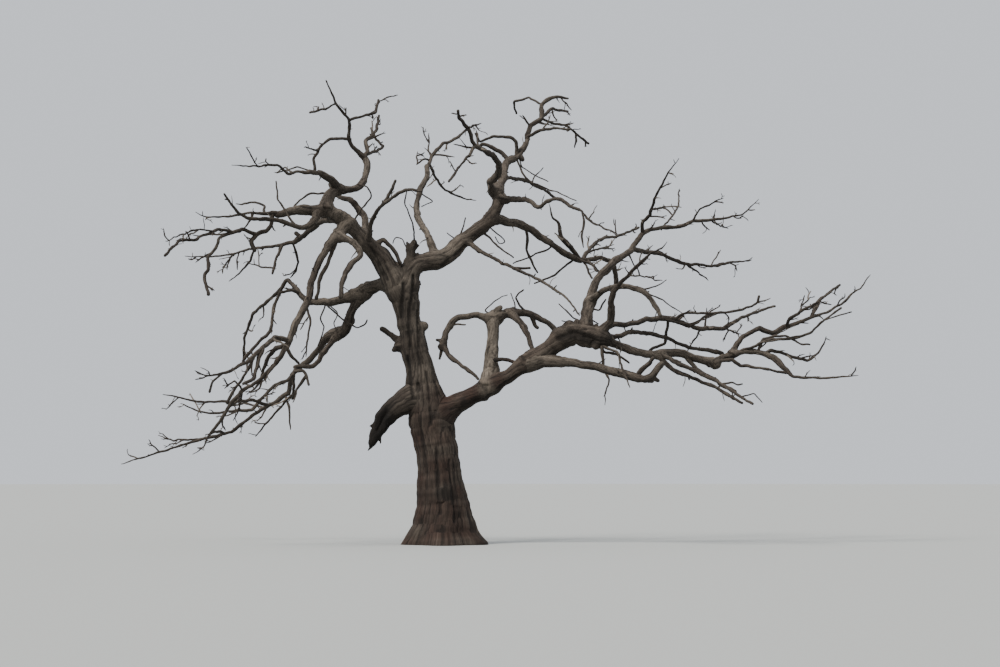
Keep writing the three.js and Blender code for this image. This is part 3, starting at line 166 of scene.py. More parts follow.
# Masses of bare twigs: name, bough, seed, and the girths and route of each leading twig
MASSES = [
    ("left_twigs", "left_leader", 12, [
        ([0.1, 0.05, 0.04, 0.03],
         [(-3.9, 7.52), (-4.5, 7.53), (-5.0, 7.47), (-5.5, 7.44), (-5.72, 7.57, -1.5)]),
        ([0.05, 0.035], [(-4.15, 7.56), (-4.14, 7.72), (-4.4, 7.8), (-4.68, 7.74), (-4.8, 7.75, -0.3)]),
        ([0.09, 0.09],
         [(-3.95, 7.48), (-3.97, 7.26), (-4.1, 7.12), (-4.33, 7.07), (-4.46, 6.88), (-4.37, 6.68, -0.9)]),
        ([0.08, 0.07, 0.07, 0.07],
         [(-4.33, 7.07), (-4.6, 7.17), (-4.95, 7.06), (-5.19, 6.96), (-5.23, 6.73), (-5.43, 6.54),
          (-5.4, 6.22), (-5.5, 6.14), (-5.42, 5.66, -2.2)]),
        ([0.06, 0.055], [(-4.85, 7.14), (-5.2, 7.17), (-5.7, 6.93), (-6.1, 6.9), (-6.41, 6.57, -3.3)]),
        ([0.04, 0.03], [(-5.3, 7.14), (-5.65, 7.18), (-6.4, 6.9, -4.0)]),
        ([0.05, 0.04], [(-4.4, 7.52), (-4.42, 7.37), (-4.6, 7.18, -1.2)]),
    ]),
    ("left_third_twigs", "left_third_bough", 13, [
        ([0.09, 0.05, 0.035, 0.03],
         [(-3.5, 6.86), (-3.9, 6.78), (-4.45, 6.73), (-4.85, 6.6), (-5.4, 6.52), (-5.95, 6.55, 3.0)]),
        ([0.06, 0.05], [(-3.72, 6.82), (-3.84, 6.56), (-3.93, 6.15, 0.7)]),
        ([0.035, 0.03], [(-3.92, 6.27), (-4.2, 6.3), (-4.5, 6.4, 1.2)]),
        ([0.05, 0.04], [(-3.48, 6.85), (-3.38, 6.6), (-3.34, 6.4), (-3.42, 6.22), (-3.55, 6.04, 1.8)]),
        ([0.05, 0.03], [(-4.33, 6.72), (-4.45, 6.45), (-4.63, 6.24), (-4.92, 5.97, 2.2)]),
        ([0.045, 0.035], [(-4.8, 6.6), (-5.08, 6.3, 3.4)]),
    ]),
    ("top_left_twigs", "left_riser", 14, [
        ([0.12, 0.07, 0.05, 0.04],
         [(-1.95, 8.92), (-2.15, 9.05), (-2.23, 9.3), (-2.22, 9.72), (-2.53, 10.1), (-2.65, 10.38),
          (-2.76, 10.62, -0.4)]),
        ([0.04, 0.05], [(-2.5, 10.08), (-2.75, 9.95), (-3.12, 9.87, 0.7)]),
        ([0.055, 0.05], [(-2.22, 9.7), (-1.94, 9.77), (-1.6, 9.87), (-1.56, 10.15, 1.0)]),
        ([0.03, 0.03], [(-1.57, 10.08), (-1.4, 10.2), (-1.1, 10.28, 1.8)]),
        ([0.07, 0.05, 0.06], [(-2.23, 9.25), (-2.65, 9.27), (-2.86, 9.1), (-3.02, 8.8), (-3.0, 8.54, 0.3)]),
        ([0.04, 0.03], [(-2.95, 9.0), (-3.25, 9.07, -0.6)]),
        ([0.1, 0.07, 0.05], [(-1.87, 8.88), (-1.78, 8.95), (-1.82, 9.2), (-1.57, 9.47), (-1.52, 9.8, 2.0)]),
        ([0.06, 0.045], [(-1.83, 8.86), (-1.6, 8.95), (-1.43, 9.08), (-1.57, 9.22), (-1.72, 9.5, 2.4)]),
    ]),
    ("left_arm_twigs", "left_riser_arm", 15, [
        ([0.06, 0.045, 0.03],
         [(-3.35, 8.5), (-3.6, 8.43), (-3.85, 8.65), (-4.25, 8.62), (-4.88, 8.66, -2.6)]),
        ([0.03, 0.03], [(-4.3, 8.63), (-4.57, 9.07, -3.0)]),
        ([0.035, 0.03], [(-3.5, 8.46), (-3.7, 8.6), (-3.88, 8.48, -0.8)]),
    ]),
    ("low_left_twigs", "low_left_bough", 16, [
        ([0.11, 0.07, 0.06, 0.05],
         [(-3.2, 5.55), (-3.45, 5.85), (-3.6, 6.02), (-3.9, 5.65), (-4.4, 5.2), (-4.56, 4.75),
          (-4.58, 4.15, 2.6)]),
        ([0.07, 0.06], [(-3.72, 5.93), (-3.9, 5.4), (-3.98, 4.85), (-4.3, 4.53), (-4.6, 4.14, 1.0)]),
        ([0.05, 0.04], [(-3.25, 5.6), (-3.08, 5.1), (-3.14, 4.6), (-3.17, 4.25, 0.5)]),
        ([0.06, 0.05], [(-3.3, 5.68), (-3.5, 5.76), (-3.75, 5.73, 0.6)]),
    ]),
    ("drooping_twigs", "drooping_bough", 17, [
        ([0.13, 0.09, 0.07, 0.08, 0.06, 0.03],
         [(-3.6, 4.5), (-3.75, 4.25), (-4.0, 3.9), (-4.25, 3.69), (-4.6, 3.48), (-4.85, 3.2),
          (-5.03, 2.88), (-5.38, 2.44), (-5.47, 2.2), (-5.72, 2.04, -1.5)]),
        ([0.1, 0.1, 0.06, 0.04],
         [(-3.6, 4.62), (-3.86, 4.7), (-4.1, 4.5), (-4.5, 4.12), (-4.96, 3.9), (-5.66, 3.73, -3.8)]),
        ([0.035, 0.03], [(-5.4, 3.82), (-5.7, 3.94, -4.2)]),
        ([0.04, 0.05], [(-5.05, 3.88), (-5.3, 3.66), (-5.36, 3.45, -3.2)]),
        ([0.09, 0.06], [(-4.15, 4.42), (-4.27, 4.05), (-4.36, 3.77), (-4.58, 3.65, -3.0)]),
        ([0.06, 0.06], [(-4.28, 4.26), (-4.5, 3.93), (-4.76, 3.53), (-4.95, 3.2, -2.4)]),
        ([0.09, 0.07, 0.04],
         [(-3.62, 4.55), (-3.85, 4.45), (-4.02, 4.27), (-4.13, 3.95), (-4.22, 3.62), (-4.5, 3.38, -0.8)]),
        ([0.06, 0.03], [(-4.95, 3.2), (-5.6, 3.2), (-6.4, 3.4, -2.4)]),
        ([0.05, 0.03], [(-5.0, 3.0), (-5.5, 2.96), (-6.0, 3.17, -1.2)]),
        ([0.07, 0.06], [(-3.57, 4.5), (-3.52, 4.32), (-3.33, 4.1, -1.5)]),
        ([0.045, 0.035], [(-4.62, 3.5), (-4.8, 3.71), (-5.02, 3.52, -2.2)]),
        ([0.045, 0.03], [(-4.62, 3.48), (-4.66, 3.2), (-4.8, 2.8, -1.0)]),
        ([0.07, 0.06], [(-4.9, 3.12), (-4.75, 3.24), (-4.4, 3.27), (-4.05, 3.15, -0.6)]),
        ([0.06, 0.05], [(-5.3, 2.5), (-5.1, 2.56), (-5.0, 2.5, -1.0)]),
    ]),
    ("furthest_left_twigs", "lower_left_bough", 18, [
        ([0.09, 0.065, 0.05, 0.04],
         [(-3.62, 3.36), (-3.85, 3.22), (-4.2, 3.03), (-4.57, 2.77), (-4.85, 2.54), (-5.8, 2.3),
          (-6.5, 2.08), (-7.33, 1.82, 2.2)]),
        ([0.045, 0.03], [(-5.4, 2.4), (-6.2, 2.34), (-6.5, 2.45, 3.2)]),
        ([0.05, 0.04], [(-3.56, 3.32), (-3.54, 3.0), (-3.53, 2.6, 1.7)]),
        ([0.045, 0.035], [(-4.1, 3.1), (-4.55, 3.2), (-4.95, 3.1, 3.4)]),
    ]),
    ("lower_fork_twigs", "lower_left_fork", 19, [
        ([0.07, 0.065, 0.06],
         [(-3.46, 3.83), (-3.6, 3.71), (-3.9, 3.6), (-4.2, 3.26), (-4.4, 3.04), (-4.9, 3.02, -0.4)]),
        ([0.06, 0.04], [(-3.5, 3.95), (-3.45, 3.4), (-3.75, 3.1), (-4.05, 2.75), (-4.3, 2.45, 0.9)]),
        ([0.065, 0.05], [(-3.44, 3.92), (-3.22, 3.93), (-3.08, 3.6, 0.1)]),
        ([0.065, 0.05], [(-3.12, 3.83), (-3.3, 3.58), (-3.48, 3.3, 0.5)]),
    ]),
    ("centre_twigs", "centre_bough", 20, [
        ([0.08, 0.065, 0.05], [(-0.34, 8.8), (-0.2, 9.02), (-0.05, 9.15), (0.27, 9.27), (0.52, 9.48, 3.2)]),
        ([0.045, 0.035], [(-0.37, 8.73), (-0.5, 8.8), (-0.68, 8.66, 1.6)]),
        ([0.035, 0.03], [(-0.66, 8.68), (-0.66, 8.85), (-0.47, 8.94, 2.2)]),
        ([0.035, 0.03], [(-0.33, 8.82), (-0.38, 8.98), (-0.37, 9.38, 2.6)]),
        ([0.06, 0.045, 0.03], [(-0.38, 8.68), (-0.25, 8.4), (-0.02, 8.07), (0.3, 7.92), (0.7, 7.82, 3.9)]),
    ]),
    ("inner_top_twigs", "inner_top_bough", 21, [
        ([0.1, 0.08, 0.06],
         [(0.85, 9.0), (0.68, 9.1), (0.57, 9.3), (0.53, 9.5), (0.3, 9.74), (0.28, 9.9, -3.0)]),
        ([0.03, 0.03], [(0.3, 9.85), (0.13, 9.86, -2.6)]),
        ([0.045, 0.035], [(0.54, 9.5), (0.82, 9.63, -3.0)]),
        ([0.08, 0.045, 0.055], [(0.66, 9.1), (0.6, 8.92), (0.4, 8.7), (0.22, 8.48), (0.08, 8.28, -3.2)]),
        ([0.045, 0.035], [(0.78, 9.04), (0.73, 9.26), (0.71, 9.45, -0.7)]),
    ]),
    ("outer_top_twigs", "outer_top_bough", 22, [
        ([0.1, 0.1, 0.09, 0.05],
         [(1.93, 9.45), (1.97, 9.58), (2.2, 9.72), (2.2, 10.05), (2.4, 10.2), (2.79, 10.21, 1.9)]),
        ([0.045, 0.045], [(2.2, 10.05), (1.92, 10.2), (1.58, 10.12), (1.61, 9.85, 2.6)]),
        ([0.065, 0.05], [(2.2, 9.75), (2.45, 9.96), (2.58, 9.93), (2.8, 9.89, 3.0)]),
        ([0.05, 0.045], [(2.2, 9.7), (2.5, 9.6), (2.77, 9.57), (3.28, 9.15, 3.4)]),
        ([0.045, 0.04], [(3.0, 9.35), (2.96, 9.05, 2.6)]),
        ([0.065, 0.045], [(1.9, 9.28), (2.1, 9.42), (2.5, 9.51), (2.84, 9.47, 0.3)]),
        ([0.045, 0.04], [(1.94, 9.55), (1.76, 9.8, 1.4)]),
    ]),
    ("middle_twigs", "middle_bough", 23, [
        ([0.05, 0.04], [(3.12, 7.58), (3.37, 7.3), (3.6, 7.21), (3.93, 7.06, -3.8)]),
        ([0.05, 0.04], [(3.12, 7.58), (3.17, 7.38), (3.13, 7.0), (3.15, 6.75, -2.6)]),
    ]),
    ("upper_right_twigs", "upper_right_bough", 24, [
        ([0.1, 0.09, 0.1], [(3.2, 6.46), (3.55, 6.5), (3.8, 6.42), (3.88, 6.2), (3.92, 5.92, 2.8)]),
        ([0.1, 0.1, 0.06, 0.03],
         [(3.12, 6.5), (2.94, 6.66), (2.63, 6.96), (2.6, 7.3), (2.45, 7.45), (2.37, 7.75, 1.2)]),
        ([0.09, 0.06, 0.045], [(3.15, 6.5), (3.3, 6.72), (3.52, 6.93), (4.0, 7.03), (4.42, 7.2, 4.0)]),
        ([0.045, 0.035], [(3.22, 6.66), (3.55, 6.72), (3.87, 6.72, 3.6)]),
        ([0.05, 0.045], [(3.15, 6.45), (3.26, 6.2), (3.37, 6.04, 1.5)]),
        ([0.05, 0.045], [(3.25, 6.46), (3.47, 6.2, 0.9)]),
    ]),
    ("broken_end_twigs", "low_right_bough", 25, [
        ([0.1, 0.06, 0.04, 0.03],
         [(3.58, 4.5), (3.6, 3.95), (3.73, 3.75), (3.66, 3.45), (3.65, 3.15, -1.7)]),
        ([0.06, 0.035], [(3.62, 4.48), (3.92, 4.38), (4.0, 4.1), (4.2, 3.55, -2.3)]),
    ]),
    ("far_right_twigs", "far_right_bough", 26, [
        ([0.12, 0.12, 0.06, 0.05, 0.045, 0.03],
         [(7.35, 4.28), (7.6, 4.13), (7.77, 3.93), (7.9, 3.79), (8.6, 3.76), (9.4, 3.82, -1.2)]),
        ([0.07, 0.06, 0.04],
         [(7.3, 4.36), (7.42, 4.4), (7.8, 4.27), (8.25, 4.17), (8.52, 4.33), (8.68, 4.68, 0.8)]),
    ]),
    ("furthest_right_twigs", "furthest_right_bough", 27, [
        ([0.085, 0.07, 0.045, 0.045, 0.03],
         [(7.8, 4.94), (8.3, 5.13), (8.7, 5.27), (9.03, 5.45), (9.49, 5.85), (9.69, 6.14, 0.8)]),
        ([0.07, 0.05], [(8.35, 5.15), (8.42, 5.35), (8.56, 5.57), (9.0, 5.88, 1.8)]),
        ([0.07, 0.05], [(7.78, 4.95), (7.88, 5.16), (8.2, 5.34), (8.5, 5.48, -0.6)]),
        ([0.035, 0.03], [(8.07, 5.25), (8.12, 5.4), (8.35, 5.62, 1.2)]),
    ]),
    ("middle_right_twigs", "middle_right_bough", 28, [
        ([0.13, 0.09, 0.085, 0.06, 0.045],
         [(5.1, 5.12), (5.35, 5.03), (5.8, 4.89), (6.4, 4.91), (6.57, 5.04), (7.03, 5.26),
          (7.52, 5.42, 2.6)]),
        ([0.06, 0.05, 0.045],
         [(5.2, 5.15), (5.45, 5.26), (6.2, 5.24), (6.75, 5.31), (7.11, 5.47), (7.15, 5.6, 0.2)]),
        ([0.045, 0.035], [(6.4, 4.9), (6.68, 4.74, 3.0)]),
        ([0.045, 0.03], [(5.82, 4.88), (5.7, 4.68), (5.55, 4.45, 2.0)]),
        ([0.065, 0.06], [(5.08, 5.08), (5.05, 4.8), (5.0, 4.55), (4.72, 4.45), (4.65, 4.38, 1.2)]),
        ([0.06, 0.05], [(5.55, 5.0), (5.75, 5.02), (5.92, 5.17), (6.2, 5.22, 0.9)]),
    ]),
    ("rising_twigs", "rising_bough", 29, [
        ([0.12, 0.09, 0.075, 0.06, 0.04, 0.03],
         [(4.28, 6.76), (4.5, 7.06), (4.7, 7.17), (5.1, 7.21), (5.45, 7.24), (5.65, 7.34), (6.15, 7.38),
          (6.8, 7.5), (7.18, 7.85, 1.6)]),
        ([0.04, 0.03], [(6.1, 7.37), (6.45, 7.17, 2.6)]),
        ([0.04, 0.03], [(5.65, 7.35), (5.8, 7.62), (6.37, 7.88, 0.2)]),
        ([0.08, 0.07, 0.05, 0.04, 0.03],
         [(4.51, 7.1), (4.5, 7.33), (4.68, 7.5), (4.78, 7.85), (5.0, 8.3), (5.33, 8.79, -1.0)]),
        ([0.04, 0.035], [(4.75, 7.62), (5.12, 7.7, -1.4)]),
        ([0.045, 0.035], [(4.98, 7.24), (5.35, 7.7), (5.33, 8.1, 2.2)]),
        ([0.1, 0.075, 0.06, 0.06, 0.04],
         [(4.3, 6.68), (4.55, 6.64), (4.9, 6.62), (5.4, 6.38), (6.1, 6.33), (7.0, 6.46, 3.2)]),
        ([0.045, 0.03], [(5.5, 6.35), (6.0, 6.0, 2.8)]),
    ]),
    ("second_rising_twigs", "second_rising_bough", 30, [
        ([0.09, 0.07, 0.05, 0.035],
         [(3.97, 5.93), (4.17, 6.07), (4.35, 6.3), (4.72, 6.64), (4.98, 6.75), (5.07, 6.88, -3.0)]),
        ([0.035, 0.03], [(4.22, 6.1), (4.6, 6.06), (4.95, 5.98, -3.4)]),
    ]),
]

# Stubs, knots and thin twigs that stand on the trunk and boughs: limb, girths at root and tip, and a route
SPURS = [
    ("fork_snag", 0.035, 0.025, [(-0.75, 6.8), (-0.72, 7.0), (-0.73, 7.3), (-0.93, 7.75), (-0.9, 8.1)]),
    ("fork_snag", 0.03, 0.02, [(-0.8, 6.6), (-1.0, 6.95), (-1.15, 7.0), (-1.2, 6.85)]),
    ("centre_left_bough", 0.08, 0.06, [(-1.38, 7.75), (-1.27, 8.0), (-1.15, 8.3)]),
    ("left_leader", 0.04, 0.03, [(-2.1, 7.3), (-1.9, 7.65), (-1.68, 7.92), (-1.8, 8.15), (-2.0, 8.2)]),
    ("left_leader", 0.03, 0.02, [(-1.75, 7.1), (-1.55, 7.6), (-1.4, 7.85)]),
    ("left_riser", 0.045, 0.035, [(-2.6, 8.05), (-3.1, 8.0), (-3.35, 7.85), (-3.45, 7.7)]),
    ("left_under_bough", 0.045, 0.03, [(-3.4, 7.25), (-3.65, 7.55), (-3.83, 7.85), (-3.88, 8.28)]),
    ("left_third_bough", 0.1, 0.08, [(-3.3, 6.92), (-3.38, 7.04), (-3.42, 7.08)]),
    ("left_riser_arm", 0.035, 0.025, [(-2.95, 8.46), (-3.4, 8.62), (-3.88, 8.46)]),
    ("drooping_bough", 0.1, 0.065, [(-2.42, 7.03), (-2.64, 6.47), (-2.86, 6.03), (-2.92, 5.6)]),
    ("low_left_bough", 0.035, 0.025, [(-2.7, 5.5), (-2.85, 5.1), (-2.75, 4.95), (-2.9, 4.5)]),
    ("low_left_bough", 0.035, 0.03, [(-2.75, 5.5), (-2.35, 5.1), (-2.0, 4.9), (-1.8, 5.0), (-1.78, 5.08)]),
    ("low_left_bough", 0.03, 0.02, [(-2.7, 5.45), (-2.45, 5.25), (-2.55, 5.0), (-2.4, 4.7)]),
    ("centre_bough", 0.03, 0.02, [(-0.55, 8.0), (-0.28, 7.8), (-0.55, 7.68)]),
    ("right_leader", 0.035, 0.025, [(0.35, 6.9), (0.35, 7.05), (0.47, 7.42)]),
    ("right_leader", 0.03, 0.02, [(0.3, 6.75), (0.2, 6.95), (0.05, 7.08)]),
    ("right_leader", 0.045, 0.03, [(0.75, 7.2), (1.0, 7.0), (1.2, 6.77), (1.55, 6.52)]),
    ("right_leader", 0.03, 0.02, [(0.95, 7.25), (1.3, 6.98), (1.38, 6.86), (1.22, 6.82), (1.15, 6.98)]),
    ("outer_top_bough", 0.1, 0.07,
     [(1.43, 8.75), (1.3, 8.93), (1.16, 9.0), (1.02, 9.08), (0.85, 9.14), (0.77, 9.05)]),
    ("outer_top_bough", 0.08, 0.04,
     [(1.62, 8.85), (1.62, 9.2), (1.5, 9.29), (1.1, 9.32), (0.9, 9.22), (0.78, 9.18), (0.7, 9.38)]),
    ("outer_top_bough", 0.12, 0.09, [(1.7, 8.88), (1.77, 8.78)]),
    ("outer_top_bough", 0.045, 0.02, [(1.62, 8.84), (1.72, 8.5), (1.95, 8.25), (2.5, 8.05), (3.0, 7.82)]),
    ("outer_top_bough", 0.03, 0.02, [(1.7, 8.85), (1.75, 8.6), (2.1, 8.38), (2.35, 8.27)]),
    ("side_top_bough", 0.03, 0.02, [(2.0, 8.22), (2.05, 8.4), (2.25, 8.57)]),
    ("upper_right_bough", 0.07, 0.035, [(1.85, 7.23), (1.87, 7.0), (1.85, 6.7), (2.1, 6.18)]),
    ("upper_right_bough", 0.04, 0.025, [(2.45, 6.82), (2.35, 6.7), (1.95, 6.55), (1.55, 6.38)]),
    ("upper_right_bough", 0.045, 0.035, [(2.95, 6.55), (2.5, 6.1), (2.03, 5.92)]),
    ("upper_right_bough", 0.06, 0.05, [(3.0, 6.52), (3.3, 6.4), (3.5, 6.2)]),
    ("under_right_bough", 0.06, 0.05, [(1.59, 6.28), (1.92, 6.27)]),
    ("low_right_bough", 0.09, 0.07, [(1.6, 3.95), (1.6, 4.12), (1.42, 4.2), (1.15, 4.17)]),
    ("arch_left", 0.07, 0.03, [(0.2, 5.08), (0.1, 4.95), (0.45, 5.0)]),
    ("arch_left", 0.08, 0.05, [(-0.05, 4.52), (-0.1, 4.35), (-0.12, 4.2)]),
    ("arch_left", 0.09, 0.05, [(-0.04, 4.6), (-0.2, 4.62)]),
    ("arch_right", 0.03, 0.02, [(1.2, 5.15), (0.9, 5.3), (1.15, 5.55), (1.43, 5.67)]),
    ("arch_right", 0.045, 0.03, [(1.9, 5.24), (1.68, 5.42), (1.6, 5.6), (1.78, 5.78)]),
    ("arch_right", 0.03, 0.02, [(1.65, 5.45), (1.5, 5.7)]),
    ("arch_right", 0.12, 0.07, [(1.95, 5.2), (2.03, 4.98), (2.1, 4.92)]),
    ("arch_post", 0.24, 0.1, [(1.12, 5.12), (1.16, 5.3), (1.24, 5.36)]),
    ("under_bough", 0.12, 0.08, [(4.35, 3.8), (4.5, 3.95), (4.72, 4.2)]),
    ("under_bough", 0.12, 0.07, [(4.7, 3.76), (4.85, 3.7)]),
    ("long_right_bough", 0.07, 0.05,
     [(6.15, 4.1), (6.52, 4.2), (6.72, 4.03), (6.85, 4.05), (7.23, 3.97), (7.76, 3.87)]),
    ("long_right_bough", 0.09, 0.07, [(5.45, 4.3), (5.51, 4.22), (5.71, 3.98), (6.1, 3.74), (6.6, 3.45)]),
    ("far_right_bough", 0.06, 0.04,
     [(6.62, 4.38), (7.13, 4.55), (7.28, 4.62), (7.99, 4.68), (8.35, 4.79), (8.65, 5.09), (9.03, 5.35)]),
    ("far_right_bough", 0.035, 0.025,
     [(6.62, 4.36), (7.2, 4.58), (7.8, 4.65), (8.3, 4.77), (8.6, 5.06), (9.26, 5.27)]),
    ("far_right_bough", 0.03, 0.02, [(7.1, 4.36), (7.45, 4.72), (7.95, 4.97)]),
    ("far_right_bough", 0.06, 0.035, [(7.13, 4.4), (7.23, 4.66), (7.76, 4.75), (8.09, 4.53), (8.3, 4.52)]),
    ("lower_trailing_bough", 0.045, 0.03,
     [(6.2, 3.52), (6.31, 3.63), (6.51, 3.67), (6.68, 3.6), (6.76, 3.62)]),
    ("trailing_right_bough", 0.03, 0.02, [(6.75, 3.35), (7.05, 3.42), (7.22, 3.2)]),
    ("rising_bough", 0.035, 0.025, [(3.2, 5.0), (2.9, 5.15), (2.6, 5.45)]),
    ("rising_bough", 0.03, 0.02, [(3.15, 4.95), (2.9, 5.02), (2.65, 5.08)]),
    ("rising_bough", 0.04, 0.03, [(3.25, 5.35), (3.5, 5.3), (3.65, 5.57)]),
    ("rising_bough", 0.03, 0.02, [(3.25, 5.15), (3.5, 5.0)]),
    ("rising_bough", 0.04, 0.02, [(4.2, 6.63), (4.32, 6.3)]),
    ("bare_arch", 0.035, 0.02, [(4.6, 5.67), (4.95, 5.55), (5.4, 5.25)]),
    ("bare_arch", 0.035, 0.02, [(4.45, 5.77), (4.75, 5.85), (5.05, 6.0)]),
    ("middle_right_bough", 0.035, 0.025, [(4.9, 5.12), (5.5, 5.0), (5.7, 5.02), (6.2, 5.25)]),
    ("low_right_bough", 0.07, 0.04, [(3.5, 4.7), (3.62, 4.35), (3.9, 4.32), (4.17, 4.1)]),
]

# Broken stubs and knots of dark wood, as above, that are made into one skin with the main boughs
BROKEN_SPURS = [
    ("trunk", 0.3, 0.2, [(-0.8, 4.55), (-1.03, 4.52)]),
    ("trunk", 0.14, 0.1, [(-0.85, 4.42), (-1.08, 4.44), (-1.15, 4.4)]),
    ("trunk", 0.16, 0.1, [(-0.82, 4.5), (-1.02, 4.6), (-1.2, 4.74), (-1.43, 4.87)]),
    ("trunk", 0.24, 0.17, [(-0.62, 4.93), (-0.46, 4.96)]),
    ("trunk", 0.16, 0.05, [(-0.75, 5.8), (-0.62, 5.98), (-0.58, 5.9)]),
    ("trunk", 0.12, 0.04, [(-0.8, 5.55), (-0.63, 5.72)]),
    ("fork_snag", 0.14, 0.05, [(-0.74, 6.6), (-0.88, 6.86)]),
    ("fork_snag", 0.12, 0.04, [(-0.74, 6.62), (-0.6, 6.82)]),
    ("fork_snag", 0.14, 0.05, [(-0.76, 6.4), (-0.62, 6.62)]),
    ("broken_low_limb", 0.16, 0.04, [(-1.3, 2.85), (-1.5, 2.72), (-1.68, 2.68)]),
    ("broken_low_limb", 0.14, 0.03, [(-1.5, 2.55), (-1.62, 2.35), (-1.74, 2.12)]),
    ("broken_low_limb", 0.12, 0.03, [(-1.4, 2.65), (-1.46, 2.42), (-1.44, 2.28)]),
    ("low_right_bough", 0.3, 0.2, [(2.72, 4.68), (2.82, 4.96)]),
    ("low_right_bough", 0.24, 0.14, [(2.95, 4.8), (3.0, 5.03)]),
    ("low_right_bough", 0.24, 0.16, [(3.3, 4.9), (3.42, 4.7), (3.45, 4.48)]),
    ("low_right_bough", 0.16, 0.08, [(3.35, 4.75), (3.45, 4.98)]),
    ("under_bough", 0.13, 0.07, [(4.55, 3.76), (4.72, 3.68)]),
]

# Long scars and hollows in the trunk and main boughs, carved and darkened with painted shade, on the side
# that faces the eye:
# width, depth, and a route as seen
SCARS = [
    (0.07, 0.05, [(-0.96, 5.9), (-0.97, 5.5), (-1.02, 5.15)]),
    (0.06, 0.05, [(-0.74, 6.1), (-0.8, 5.5), (-0.84, 5.05), (-0.8, 4.5)]),
    (0.05, 0.03, [(-0.64, 5.3), (-0.62, 4.7), (-0.5, 4.1)]),
    (0.06, 0.04, [(-0.86, 4.25), (-0.8, 3.8), (-0.72, 3.3)]),
    (0.08, 0.05, [(-0.6, 3.62), (-0.58, 3.5)]),
    (0.05, 0.03, [(-0.42, 3.9), (-0.36, 3.3), (-0.3, 2.7)]),
    (0.05, 0.03, [(-0.55, 2.9), (-0.5, 2.3), (-0.42, 1.6)]),
    (0.06, 0.04, [(-0.2, 2.2), (-0.15, 1.4), (-0.1, 0.7)]),
    (0.05, 0.03, [(0.1, 1.9), (0.16, 1.2), (0.22, 0.5)]),
    (0.06, 0.04, [(1.2, 3.55), (1.7, 3.85), (2.2, 4.2)]),
    (0.16, 0.1, [(-1.36, 2.98), (-1.46, 2.8), (-1.54, 2.6)]),
    (0.16, 0.09, [(2.88, 4.8), (3.1, 4.72), (3.36, 4.64)]),
    (0.1, 0.05, [(2.6, 4.66), (2.9, 4.8)]),
    (0.05, 0.03, [(0.5, 3.2), (0.9, 3.35), (1.3, 3.5)]),
    (0.05, 0.03, [(-1.7, 6.75), (-1.5, 6.4), (-1.3, 6.0)]),
    (0.05, 0.03, [(-0.1, 6.35), (0.25, 6.62), (0.6, 6.95)]),
]

# Limbs that have lost their bark, and how bleached each is
BARE_WOOD = {"arch_post": 0.75, "arch_left": 0.3, "centre_bough": 0.4, "bare_arch": 0.45}
# The limbs that flow into one another as one piece
FUSED = ["trunk", "left_leader", "right_leader", "broken_low_limb", "low_right_bough", "low_left_bough",
         "fork_snag", "arch_post"]
# Where two limbs meet, the bark swells over the seam, by a share of the thinner limb's radius
FLOW = {"share": 0.6, "least": 0.01, "most": 0.1, "push": 0.06}

# How finely limbs are made, in metres, and the sides that their rings have
VOXEL = 0.022
RING_STEP = 0.024
TWIG_STEP = 0.035
BOUGH_SIDES = {"width": 0.018, "least": 8, "most": 96}
TWIG_SIDES = {"width": 0.014, "least": 6, "most": 28}
FINE_SIDES = {"thick": 0.02, "more": 6, "fewer": 5}
TIP_DOME = [35.0, 65.0]
# How finely curves are measured and searched, as the solids' rule does it
CURVE_PARTS = 200
ROOT_PLACES = 80
ROOM_PLACES = 21
BALL_STEP = 0.05
# How far round a mass limbs still count as near it, and how many points are worked out at once
NEAR = {"side": 1, "finer": 0.3}
CHUNK = 20000

# The bark stands outside the solids by this share of a limb's radius, up to a most
BARK = {"share": 0.18, "most": 0.01}
# Limbs wander a little from their curves, by the same amount at the same place
WANDER = [{"reach": 0.022, "grain": 0.24}, {"reach": 0.012, "grain": 0.1}]
# How much a limb's girth swells and shrinks along it, calmer on the trunk, and its knots, with painted shade
# in their hollow cores
SWELLING = {"share": 0.14, "stretch": 5.0, "least": 0.02, "trunk": 0.4}
KNOTS = {"spacing": 0.45, "size": 0.55, "height": 0.28, "most": 0.16, "scale": (0.6, 0.8), "dip": 0.5,
         "tight": 6, "dark": 0.9, "core": 5}
# A leading twig at least this thick at its tip ends bluntly. A pointed one loses this share of its
# cross-section towards the tip.
BLUNT_TIP = 0.045
POINTED = 0.85
# The grain's width as a share of a limb's radius, within limits, and how much longer than wide it is
GRAIN = {"share": 0.34, "least": 0.012, "most": 0.11, "stretch": 7}

# Twigs finer than those of the solids, from the same rule at smaller sizes
FINER_TWIGS = [
    {"spacing": 0.6, "turn": (0.45, 1.1), "length": (0.12, 0.34), "lift": 0.1, "crook": 0.5, "bends": 3,
     "girth": 0.5, "tip": 0.017},
    {"spacing": 0.5, "turn": (0.4, 1.0), "length": (0.05, 0.12), "lift": 0.06, "crook": 0.6, "bends": 2,
     "girth": 0.55, "tip": 0.013},
]
FINER_PLACES = {"start": 0.35, "scatter": 0.6, "spare": 0.0, "last": 0.97}
BOUGH_TWIGS = {"spacing": 0.8, "turn": (0.6, 1.2), "length": (0.16, 0.45), "lift": 0.1, "crook": 0.5,
               "bends": 3, "girth": 0.25, "tip": 0.016}
STUBS = {"spacing": 0.55, "turn": (0.8, 1.3), "length": (0.05, 0.14), "lift": 0.05, "crook": 0.3, "bends": 2,
         "girth": 0.4, "tip": 0.028}
BOUGH_PLACES = {"start": 0.5, "scatter": 0.5, "spare": 0.1, "last": 1.0}
# Boughs that are thicker than this at the root carry no thin twigs and stubs of their own
THICKEST_TWIGGED = 0.25

# Seeds, and what a mass's own seed is multiplied by for its side twigs and its finer ones
SEEDS = {"boughs": 7, "spurs": 90, "bough_twigs": 91, "bough_colours": 92, "broken_spurs": 93}
MASS_SEEDS = {"side": 1000, "finer": 77}

